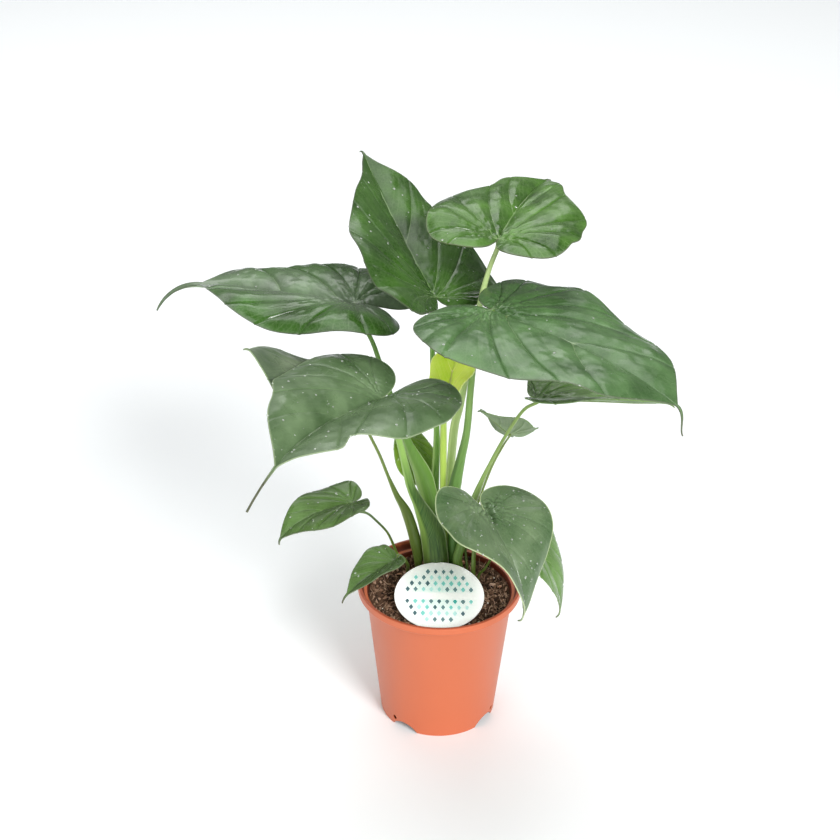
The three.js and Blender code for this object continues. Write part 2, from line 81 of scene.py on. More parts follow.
def paint(tree, colour, *layers):
    # lays tones over a colour in turn; a layer is a mark, the two values it runs between, how much
    # of the tone is laid at each of them, and the tone
    for mark, *span, tone in layers:
        if span:
            low, high, first, last = span
            mark = addNode(tree, "MapRange", {0: mark, 1: low, 2: high, 3: first, 4: last}).outputs[0]
        mixed = addNode(tree, "Mix", {0: mark, 6: colour, 7: tone}, data_type="RGBA")
        colour = mixed.outputs[2]
    return colour


def finish(tree, shader, colour, height, strength, depth, rough=None):
    # links the colour and the fine relief of a material, and its roughness where that varies
    tree.links.new(colour, shader.inputs["Base Color"])
    if rough:
        tree.links.new(rough.outputs[0], shader.inputs["Roughness"])
    bump = addNode(tree, "Bump", {"Height": height, "Strength": strength, "Distance": depth * mm})
    tree.links.new(bump.outputs[0], shader.inputs["Normal"])


def alone(piece):  # selects one piece and makes it the active one
    bpy.ops.object.select_all(action="DESELECT")
    piece.select_set(True)
    bpy.context.view_layer.objects.active = piece


def applyAll(piece):
    alone(piece)
    for modifier in list(piece.modifiers):
        bpy.ops.object.modifier_apply(modifier=modifier.name)


def ready(piece, slot, *nodes):
    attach(piece, "root")
    if nodes:
        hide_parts(*nodes)


# Camera, light and floor

view = {
    "place": (0, -1062, 844), "lens": 75, "sensor": 36, "down": 29.4, "turn": 0.84, "roll": 0.6,
}
stage = {
    "floor": 9000, "floorColour": "#f8fbfc", "floorTint": "#f6f9fa", "world": "#ffffff",
    "worldStrength": 0.22,
    # the key light is far off, wide and soft: where it comes from, its strength and its angle
    "key": (440, -720, 560), "keyStrength": 2.6, "keyAngle": 22,
}
# panels: name, place, size, watts, aimed at
lamps = [
    ("topPanel", (-100, 250, 1900), (1500, 1000), 11, (0, 0, 150)),
    ("backPanel", (-350, 1500, 1900), (2100, 900), 17, (0, 0, 250)),
    ("frontPanel", (-1500, -1700, 900), (1800, 1400), 17, (0, 0, 200)),
    ("lowPanel", (350, -1500, 650), (1100, 500), 5, (0, -160, 20)),
]

bpy.ops.object.camera_add(location=[v * mm for v in view["place"]])
camera = bpy.context.object
aim = Matrix.Rotation(math.radians(view["turn"]), 3, "Z")
aim = aim @ Matrix.Rotation(math.radians(90 - view["down"]), 3, "X")
camera.rotation_euler = (aim @ Matrix.Rotation(math.radians(view["roll"]), 3, "Z")).to_euler()
camera.data.lens = view["lens"]
camera.data.sensor_width = view["sensor"]
bpy.context.scene.camera = camera

bpy.ops.mesh.primitive_plane_add(size=stage["floor"] * mm)
floor = bpy.context.object
floor.name = "floor"
material, tree, shader = newMaterial("matt_white_paper", Roughness=0.9)
grain = addNode(tree, "TexNoise", {"Scale": 3, "Detail": 2})
tint = paint(tree, stage["floorColour"], (grain.outputs["Fac"], stage["floorTint"]))
tree.links.new(tint, shader.inputs["Base Color"])
floor.data.materials.append(material)

for name, place, size, watts, target in lamps:
    bpy.ops.object.light_add(type="AREA", location=[v * mm for v in place])
    lamp = bpy.context.object
    lamp.name = name
    lamp.data.shape = "RECTANGLE"
    lamp.data.size, lamp.data.size_y = [v * mm for v in size]
    lamp.data.energy = watts
    lamp.visible_camera = False
    toward = Vector([t - p for t, p in zip(target, place)])
    lamp.rotation_euler = toward.to_track_quat("-Z", "Y").to_euler()
bpy.ops.object.light_add(type="SUN", location=[v * mm for v in stage["key"]])
lamp = bpy.context.object
lamp.name = "keyLight"
lamp.data.energy = stage["keyStrength"]
lamp.data.angle = math.radians(stage["keyAngle"])
lamp.rotation_euler = (-Vector(stage["key"])).to_track_quat("-Z", "Y").to_euler()

world = bpy.data.worlds.new("studio_white")
world.use_nodes = True
bpy.context.scene.world = world
world.node_tree.nodes["Background"].inputs["Color"].default_value = linear(stage["world"])
world.node_tree.nodes["Background"].inputs["Strength"].default_value = stage["worldStrength"]
bpy.context.scene.view_settings.view_transform = "Standard"
print("camera, floor and lights are set")

# Pot: injection moulded polypropylene, a matt terracotta red with a faint mould grain

pot = {
    "steps": 128, "footRadius": 42.9, "archCount": 4, "archFirst": -34.5, "archSpan": 29,
    "archHeight": 6.5, "drainRadius": 1.9, "drainAside": 12, "drainHeight": 7, "cutter": 12,
    "wall": 1.3, "taper": 11.1 / 103.5, "crown": 109.7, "step": 104.2, "smooth": 28,
    # radius and height of each turned ring, from the middle of the underside to the inside floor
    "rings": [
        (14, 0), (15, 7), (41.1, 7), (41.1, 0.3), (41.4, 0), (42.6, 0), (42.9, 0.3),
        (53.96, 103.1), (54.3, 103.7), (58.7, 104), (59.5, 104.3), (59.95, 105), (60, 106),
        (60, 109.2), (59.75, 110), (59.2, 110.4), (58.5, 110.5), (57.9, 110.3), (57.45, 109.8),
        (57.25, 109), (56.9, 105.9), (56.1, 104.6), (53.2, 103.6), (52.7, 103), (42.6, 9),
    ],
}


def insideRadius(z):  # inner face of the pot's wall
    return pot["footRadius"] - pot["wall"] + pot["taper"] * z


def makePot():
    rings = pot["rings"]
    radius, height = rings[0]
    bpy.ops.object.select_all(action="DESELECT")
    bpy.ops.mesh.primitive_circle_add(
        vertices=pot["steps"], radius=radius * mm, location=(0, 0, height * mm))
    piece = bpy.context.object
    piece.name = "pot_wall"
    bpy.ops.object.transform_apply(location=True)
    bpy.ops.object.mode_set(mode="EDIT")
    bpy.ops.mesh.select_all(action="SELECT")
    for nextRadius, nextHeight in rings[1:]:
        bpy.ops.mesh.extrude_edges_move(
            TRANSFORM_OT_translate={"value": (0, 0, (nextHeight - height) * mm)})
        bpy.ops.transform.resize(
            value=(nextRadius / radius, nextRadius / radius, 1), center_override=(0, 0, 0))
        radius, height = nextRadius, nextHeight
    bpy.ops.mesh.edge_face_add()
    bpy.ops.mesh.select_all(action="DESELECT")
    bpy.ops.mesh.select_non_manifold()
    bpy.ops.mesh.edge_face_add()
    bpy.ops.mesh.select_all(action="SELECT")
    bpy.ops.mesh.normals_make_consistent(inside=False)
    bpy.ops.object.mode_set(mode="OBJECT")
    halfChord = pot["footRadius"] * math.sin(math.radians(pot["archSpan"] / 2))
    archRadius = (halfChord ** 2 + pot["archHeight"] ** 2) / (2 * pot["archHeight"])
    for i in range(pot["archCount"]):
        middle = pot["archFirst"] + i * 360 / pot["archCount"]
        aside = pot["drainAside"] * (1 if i % 2 else -1)
        cuts = [
            (archRadius, pot["archHeight"] - archRadius, middle, 96),
            (pot["drainRadius"], pot["drainHeight"], middle + aside, 32),
        ]
        for cutRadius, cutHeight, azimuth, sides in cuts:
            turned = math.radians(azimuth)
            reach = pot["footRadius"]
            bpy.ops.mesh.primitive_cylinder_add(
                vertices=sides, radius=cutRadius * mm, depth=pot["cutter"] * mm,
                location=[v * mm for v in (reach * math.sin(turned), -reach * math.cos(turned), cutHeight)],
                rotation=(math.pi / 2, 0, turned))
            cutter = bpy.context.object
            cut = piece.modifiers.new("cut", "BOOLEAN")
            cut.operation = "DIFFERENCE"
            cut.solver = "EXACT"
            cut.object = cutter
            applyAll(piece)
            bpy.data.objects.remove(cutter)
    alone(piece)
    bpy.ops.object.shade_smooth_by_angle(angle=math.radians(pot["smooth"]))
    return piece


potWall = makePot()
material, tree, shader = newMaterial(
    "moulded_polypropylene", Roughness=0.42, IOR=1.49, Specular_IOR_Level=0.6)
where = addNode(tree, "TexCoord").outputs["Object"]
clouds = addNode(tree, "TexNoise", {"Vector": where, "Scale": 22, "Detail": 3}).outputs["Fac"]
# faint flow streaks of the moulding run up the wall, about 3 mm apart
stretched = addNode(tree, "Mapping", {"Vector": where, "Scale": (320, 320, 12)})
streaks = addNode(tree, "TexNoise", {"Vector": stretched.outputs[0], "Scale": 1, "Detail": 2})
# painted shade with a damp peat stain darkens the inside of the wall; it ends inside the wall's middle,
# which stands further out above the step
spot = addNode(tree, "SeparateXYZ", {0: where})
flatSpot = addNode(tree, "CombineXYZ", {0: spot.outputs["X"], 1: spot.outputs["Y"]})
reach = addNode(tree, "VectorMath", {0: flatSpot.outputs[0]}, operation="LENGTH").outputs["Value"]
middleOfWall = addNode(tree, "Math", {
    0: spot.outputs["Z"], 1: pot["taper"], 2: (pot["footRadius"] - pot["wall"] / 2) * mm,
}, operation="MULTIPLY_ADD")
rimStep = addNode(tree, "MapRange", {
    0: spot.outputs["Z"], 1: pot["step"] * mm, 2: (pot["step"] + 0.3) * mm, 3: 0, 4: 3.9 * mm})
limit = addNode(tree, "Math", {0: middleOfWall.outputs[0], 1: rimStep.outputs[0]}, operation="ADD")
within = addNode(tree, "Math", {0: reach, 1: limit.outputs[0]}, operation="LESS_THAN")
blotches = addNode(tree, "TexNoise", {"Vector": where, "Scale": 130, "Detail": 4})
ragged = addNode(tree, "Math", {
    0: blotches.outputs["Fac"], 1: 5 * mm, 2: spot.outputs["Z"]}, operation="MULTIPLY_ADD")
fade = addNode(tree, "MapRange", {
    0: ragged.outputs[0], 1: 110 * mm, 2: 112.5 * mm, 3: 0.92, 4: 0})
stainAndShade = addNode(tree, "Math", {0: within.outputs[0], 1: fade.outputs[0]}, operation="MULTIPLY")
body = paint(
    tree, "#c16039", (clouds, "#c96a44"), (streaks.outputs["Fac"], "#c5653e"),
    # painted shade and damp stain: the inside of the wall turns dark red brown
    (stainAndShade.outputs[0], "#5e2113"),
    # the flat top of the rim is a darker red
    (spot.outputs["Z"], pot["crown"] * mm, (pot["crown"] + 0.5) * mm, 0, 0.6, "#8f3420"))
rough = addNode(tree, "MapRange", {0: clouds, 3: 0.38, 4: 0.5})
# mould grain of about 0.4 mm
grain = addNode(tree, "TexNoise", {"Vector": where, "Scale": 2400, "Detail": 2})
finish(tree, shader, body, grain.outputs["Fac"], 0.12, 0.2, rough)
potWall.data.materials.append(material)
ready(potWall, "pot", "pot")
print("pot is turned and cut")

# Soil: peat and coir potting mix, crumbs and fibres on a lumpy filling

soil = {
    "top": 96.2, "bump": 0.7, "base": 9.3, "rings": 46, "steps": 144, "clear": 0.3,
    "heapFrom": 44, "heap": 4.5, "lumps": ((4.1, 0.55), (2.3, 0.4), (1.2, 0.22)),
    "crumbs": 2300, "crumbSize": (0.7, 2.3), "whites": 34,
    # name, count, rise above the soil, longest reach, sizes along three axes, tones
    "litter": [
        ("soil_fibres", 430, 1.3, 5, ((0.14, 0.26), (0.14, 0.26), (2.2, 6.5)), (0.4, 0.72)),
        ("soil_chips", 22, 1.4, 3, ((1.8, 3.4), (1.2, 2.2), (0.6, 1.1)), (0.7, 0.86)),
    ],
}

# the label is a round card that lies on the soil and leans on the foot of the front stem
label = {
    "radius": 32.8, "thickness": 0.8, "tilt": 13, "centre": (0, -11.2, 104.9), "edge": 0.25,
    "margin": 3.1, "band": 3.4, "pitch": 5.8, "smooth": 40,
}


def soilHeight(x, y):
    coarse = np.sin(x * 0.31 + 1.3) * np.cos(y * 0.27 - 0.4)
    brim = insideRadius(soil["top"] + soil["heap"])
    share = (np.hypot(x, y) - soil["heapFrom"]) / (brim - soil["heapFrom"])
    height = soil["top"] + soil["bump"] * (0.6 * coarse + 0.4 * np.sin(x * 0.57 - y * 0.43 + 2.1))
    return height + soil["heap"] * unit(share)


def newGrid(name, across, along):  # a flat grid and the column and row of each of its points
    bpy.ops.object.select_all(action="DESELECT")
    bpy.ops.mesh.primitive_grid_add(x_subdivisions=along, y_subdivisions=across, size=1)
    piece = bpy.context.object
    piece.name = name
    flat = np.empty(len(piece.data.vertices) * 3)
    piece.data.vertices.foreach_get("co", flat)
    flat = flat.reshape(-1, 3)
    row = np.rint((flat[:, 0] + 0.5) * along).astype(int)
    column = np.rint((flat[:, 1] + 0.5) * across).astype(int)
    return piece, row, column


def place(piece, points):
    piece.data.vertices.foreach_set("co", (points * mm).astype(np.float32).ravel())
    piece.data.update()


def setAttribute(piece, name, values):
    layer = piece.data.attributes.new(name, "FLOAT", "POINT")
    layer.data.foreach_set("value", np.asarray(values, np.float32))


def mergeDoubles(piece, distance, closed=True):
    alone(piece)
    bpy.ops.object.mode_set(mode="EDIT")
    bpy.ops.mesh.select_all(action="SELECT")
    bpy.ops.mesh.remove_doubles(threshold=distance * mm)
    if closed:
        bpy.ops.mesh.normals_make_consistent(inside=False)
    bpy.ops.object.mode_set(mode="OBJECT")


def smallBall(subdivisions):  # the points and faces of a ball of radius 1
    bpy.ops.mesh.primitive_ico_sphere_add(subdivisions=subdivisions, radius=1)
    ball = bpy.context.object
    shape = np.array([v.co for v in ball.data.vertices])
    faces = np.array([list(p.vertices) for p in ball.data.polygons])
    bpy.data.objects.remove(ball)
    return shape, faces


def heap(name, points, faces):  # one mesh of many closed shapes, from an array of their points
    count, size = points.shape[:2]
    corners = faces[None] + np.arange(count)[:, None, None] * size
    mesh = bpy.data.meshes.new(name)
    mesh.from_pydata((points.reshape(-1, 3) * mm).tolist(), [], corners.reshape(-1, 3).tolist())
    piece = bpy.data.objects.new(name, mesh)
    bpy.context.scene.collection.objects.link(piece)
    return piece


def scatter(name, shape, faces, spots, sizes, tones):
    # copies a small closed shape to many spots, each turned at random, as one mesh
    count = len(spots)
    turns = chance.normal(size=(count, 4))
    turns /= np.linalg.norm(turns, axis=1)[:, None]
    w, x, y, z = turns.T
    turned = np.array([
        [1 - 2 * (y * y + z * z), 2 * (x * y - z * w), 2 * (x * z + y * w)],
        [2 * (x * y + z * w), 1 - 2 * (x * x + z * z), 2 * (y * z - x * w)],
        [2 * (x * z - y * w), 2 * (y * z + x * w), 1 - 2 * (x * x + y * y)],
    ]).transpose(2, 0, 1)
    lumps = shape[None] * sizes[:, None, :] * (1 + chance.normal(0, 0.16, (count, len(shape), 1)))
    points = np.einsum("nij,nkj->nki", turned, lumps) + spots[:, None, :]
    piece = heap(name, points, faces)
    setAttribute(piece, "tone", np.repeat(tones, len(shape)))
    return piece


def makeSoil():
    rings, steps = soil["rings"], soil["steps"]
    piece, row, column = newGrid("soil_mix", steps, rings + 4)
    angle = 2 * np.pi * column / steps
    brim = soil["top"] + soil["heap"]
    topRadius = insideRadius(brim) - soil["clear"]
    share = unit(row / rings) ** 0.8
    radius = topRadius * share
    x, y = radius * np.cos(angle), radius * np.sin(angle)
    height = soilHeight(x, y)
    for size, tall in soil["lumps"]:
        a, b = chance.uniform(0, 6, 2)
        height += tall * np.sin(x / size + a + 1.3 * np.sin(y / size)) * np.cos(y / size * 1.2 + b)
    height -= 0.8 * unit((share - 0.96) / 0.04)
    # the last rows go down the wall and close under the filling
    side = np.clip(row - rings, 0, 4)
    baseRadius = insideRadius(soil["base"]) - soil["clear"]
    ring = np.choose(side, [0, topRadius - 0.35, baseRadius, baseRadius * 0.5, 0])
    level = np.choose(side, [0, brim - 3, soil["base"], soil["base"], soil["base"]])
    x = np.where(side > 0, np.cos(angle) * ring, x)
    y = np.where(side > 0, np.sin(angle) * ring, y)
    height = np.where(side > 0, level, height)
    place(piece, np.stack([x, y, height], 1))
    mergeDoubles(piece, 0.002)
    bpy.ops.object.shade_smooth()
    setAttribute(piece, "tone", np.full(len(piece.data.vertices), 0.2))
    shape, faces = smallBall(1)

    def spotsFor(count, rise, reach):  # spots on the soil, sunk where they would touch the label
        far = np.sqrt(chance.uniform(0, 1, count)) * (topRadius - 1.5)
        turn = chance.uniform(0, 2 * np.pi, count)
        px, py = far * np.cos(turn), far * np.sin(turn)
        height = soilHeight(px, py) + rise
        under = label["centre"][2] + (py - label["centre"][1]) * math.tan(math.radians(label["tilt"]))
        covered = np.hypot(px, py - label["centre"][1]) < label["radius"] + reach
        return np.stack([px, py, np.where(covered, np.minimum(height, under - 1 - reach), height)], 1)

    low, high = soil["crumbSize"]
    crumb = chance.uniform(0, 1, soil["crumbs"]) ** 2.2 * (high - low) + low
    parts = [scatter(
        "soil_crumbs", shape, faces, spotsFor(soil["crumbs"], 0.35, 1.6),
        crumb[:, None] * chance.uniform(0.55, 1, (soil["crumbs"], 3)),
        chance.uniform(0, 0.62, soil["crumbs"]) ** 1.2)]
    for name, count, rise, reach, spans, tones in soil["litter"]:
        parts.append(scatter(
            name, shape, faces, spotsFor(count, rise, reach),
            np.stack([chance.uniform(*span, count) for span in spans], 1),
            chance.uniform(*tones, count)))
    count = soil["whites"]
    parts.append(scatter(
        "soil_whites", shape, faces, spotsFor(count, 1.0, 1),
        chance.uniform(0.4, 1.1, (count, 1)) * chance.uniform(0.7, 1, (count, 3)),
        chance.uniform(0.92, 1, count)))
    alone(piece)
    for part in parts:
        part.select_set(True)
    bpy.ops.object.join()
    return piece


soilMix = makeSoil()
# damp peat is nearly black brown, dry crumbs and coir fibres turn pinkish tan
material, tree, shader = newMaterial("peat_and_coir", Roughness=0.92, Specular_IOR_Level=0.25)
where = addNode(tree, "TexCoord").outputs["Object"]
tone = addNode(tree, "Attribute", attribute_name="tone").outputs["Fac"]
specks = addNode(tree, "TexNoise", {"Vector": where, "Scale": 900, "Detail": 4, "Roughness": 0.7})
mixed = addNode(tree, "Math", {0: specks.outputs["Fac"], 1: 0.34, 2: -0.17}, operation="MULTIPLY_ADD")
shade = addNode(tree, "Math", {0: tone, 1: mixed.outputs[0]}, operation="ADD", use_clamp=True)
earth = addNode(tree, "ValToRGB", {"Fac": shade.outputs[0]}, stops=(
    (0, "#261a12"), (0.2, "#573e2e"), (0.4, "#8a6b56"), (0.6, "#bb9a84"), (0.74, "#c2a08c"),
    (0.86, "#b98460"), (0.92, "#d8cabd"), (1, "#f4efe6"),
))
finish(tree, shader, earth.outputs[0], specks.outputs["Fac"], 0.6, 0.6)
soilMix.data.materials.append(material)
ready(soilMix, "soil", "soil")
print("soil is filled")

# Label: a stiff round card with a bevelled edge

bpy.ops.object.select_all(action="DESELECT")
bpy.ops.mesh.primitive_cylinder_add(
    vertices=160, radius=label["radius"] * mm, depth=label["thickness"] * mm,
    location=[v * mm for v in label["centre"]], rotation=(math.radians(label["tilt"]), 0, 0))
card = bpy.context.object
card.name = "label_card"
bpy.ops.object.mode_set(mode="EDIT")
bpy.ops.mesh.select_all(action="DESELECT")
bpy.ops.mesh.select_mode(type="FACE")
bpy.ops.object.mode_set(mode="OBJECT")
for face in card.data.polygons:
    face.select = len(face.vertices) > 4
bpy.ops.object.mode_set(mode="EDIT")
bpy.ops.mesh.inset(thickness=label["edge"] * mm)
bpy.ops.mesh.inset(thickness=label["margin"] * mm)
bpy.ops.object.mode_set(mode="OBJECT")
rounded = card.modifiers.new("edge", "BEVEL")
rounded.width = label["edge"] * mm
rounded.segments = 3
rounded.limit_method = "ANGLE"
applyAll(card)
bpy.ops.object.transform_apply(location=True, rotation=True, scale=True)
bpy.ops.object.shade_smooth_by_angle(angle=math.radians(label["smooth"]))

# white coated card; its print is plain rows of small lozenges with a clear band between them
# the card also glows a little, a painted light
material, tree, shader = newMaterial("coated_card", Roughness=0.3, IOR=1.5, Emission_Strength=0.24)
where = addNode(tree, "TexCoord").outputs["Object"]
flat = addNode(tree, "Mapping", {
    "Vector": where, "Location": [v * mm for v in label["centre"]],
    "Rotation": (math.radians(label["tilt"]), 0, 0), "Scale": (mm, mm, mm),
}, vector_type="TEXTURE").outputs[0]
spot = addNode(tree, "SeparateXYZ", {0: flat})
around = addNode(tree, "VectorMath", {0: flat}, operation="LENGTH").outputs["Value"]
marks = {"x": spot.outputs["X"], "y": spot.outputs["Y"], "z": spot.outputs["Z"], "around": around}


def reckon(*steps):  # the print's arithmetic: each step's name, operation and what it works on
    for name, operation, *values in steps:
        inputs = {i: marks.get(value, value) for i, value in enumerate(values)}
        marks[name] = addNode(tree, "Math", inputs, operation=operation).outputs[0]


pitch, printRadius = label["pitch"], label["radius"] - label["margin"]
reckon(
    ("row", "MULTIPLY_ADD", "y", 1 / pitch, 0.5), ("rowNumber", "FLOOR", "row"),
    ("column", "DIVIDE", "x", pitch), ("column", "MULTIPLY_ADD", "rowNumber", 0.5, "column"),
    ("cellNumber", "FLOOR", "column"),
    ("acrossCell", "FRACT", "column"), ("acrossCell", "SUBTRACT", "acrossCell", 0.5),
    ("acrossCell", "ABSOLUTE", "acrossCell"), ("acrossCell", "MULTIPLY", "acrossCell", 1.6),
    ("alongCell", "FRACT", "row"), ("alongCell", "SUBTRACT", "alongCell", 0.5),
    ("alongCell", "ABSOLUTE", "alongCell"), ("spread", "ADD", "acrossCell", "alongCell"),
    # the middle of the cell
    ("middleX", "MULTIPLY_ADD", "rowNumber", -0.5, "cellNumber"), ("middleX", "ADD", "middleX", 0.5),
    ("middleX", "MULTIPLY", "middleX", pitch), ("middleY", "MULTIPLY", "rowNumber", pitch))
cell = addNode(tree, "CombineXYZ", {0: marks["cellNumber"], 1: marks["rowNumber"]}).outputs[0]
draw = addNode(tree, "TexWhiteNoise", {"Vector": cell}, noise_dimensions="2D")
middle = addNode(tree, "CombineXYZ", {0: marks["middleX"], 1: marks["middleY"]}).outputs[0]
marks["far"] = addNode(tree, "VectorMath", {0: middle}, operation="LENGTH").outputs["Value"]
marks["draw"] = draw.outputs["Value"]
reckon(
    ("size", "MULTIPLY_ADD", "draw", 0.1, 0.4), ("lozenge", "LESS_THAN", "spread", "size"),
    # a lozenge is printed whole or not at all, by how far its middle is from the middle of the card
    ("whole", "LESS_THAN", "far", printRadius - 2.6), ("face", "GREATER_THAN", "z", 0),
    ("clear", "ADD", "y", 0.6), ("clear", "ABSOLUTE", "clear"),
    ("clear", "GREATER_THAN", "clear", label["band"]), ("printed", "MULTIPLY", "lozenge", "whole"),
    ("printed", "MULTIPLY", "printed", "clear"), ("printed", "MULTIPLY", "printed", "face"),
    # a mint wash behind them, strongest in the middle
    ("glow", "DIVIDE", "around", 34), ("glow", "SUBTRACT", 1, "glow"),
    ("inside", "LESS_THAN", "around", printRadius - 1), ("glow", "MULTIPLY", "glow", "inside"),
    ("glow", "MULTIPLY", "glow", "clear"))
ink = addNode(tree, "ValToRGB", {"Fac": draw.outputs["Color"]}, stops=(
    (0, "#a4dcd8"), (0.2, "#66868c"), (0.38, "#7fcfc8"), (0.55, "#4a6872"), (0.7, "#b9e4e2"),
    (0.84, "#3faba2"),
))
ink.color_ramp.interpolation = "CONSTANT"
dressed = paint(
    tree, "#fefefe", (marks["glow"], "#ddf4f0"),
    (marks["printed"], ink.outputs[0]))
# painted light: the card glows a little in the colours of its print
tree.links.new(dressed, shader.inputs["Emission Color"])
fibre = addNode(tree, "TexNoise", {"Vector": where, "Scale": 700, "Detail": 2})
finish(tree, shader, dressed, fibre.outputs["Fac"], 0.05, 0.2)
card.data.materials.append(material)
ready(card, "label", "label")
print("label is laid")

# Leaves: one entry for each, in millimetres and degrees
# The values are the part's own, and a fit to the leaf outlines in the photo gave most of them. Only
# the sheaths of leaf_05 and leaf_06 are broader here.
# skin and stalk name the colours, at is where stalk and blade meet, full is how full the flank is.
# left and right widen the margin at four places, foot and stem are where the stalk runs: x, y, then
# z on the stem, width and thickness. tailBend, tailRoll and tailThin shape the drip tip. crease,
# quilt, pleat and crinkle scale the relief of the blade.
usual = {
    "tipHalf": 1.2, "tailThin": 1, "tailRoll": 0, "neck": 6.5, "left": [0] * 4, "right": [0] * 4,
    "crease": 1, "quilt": 1, "pleat": 1, "crinkle": 1,
}
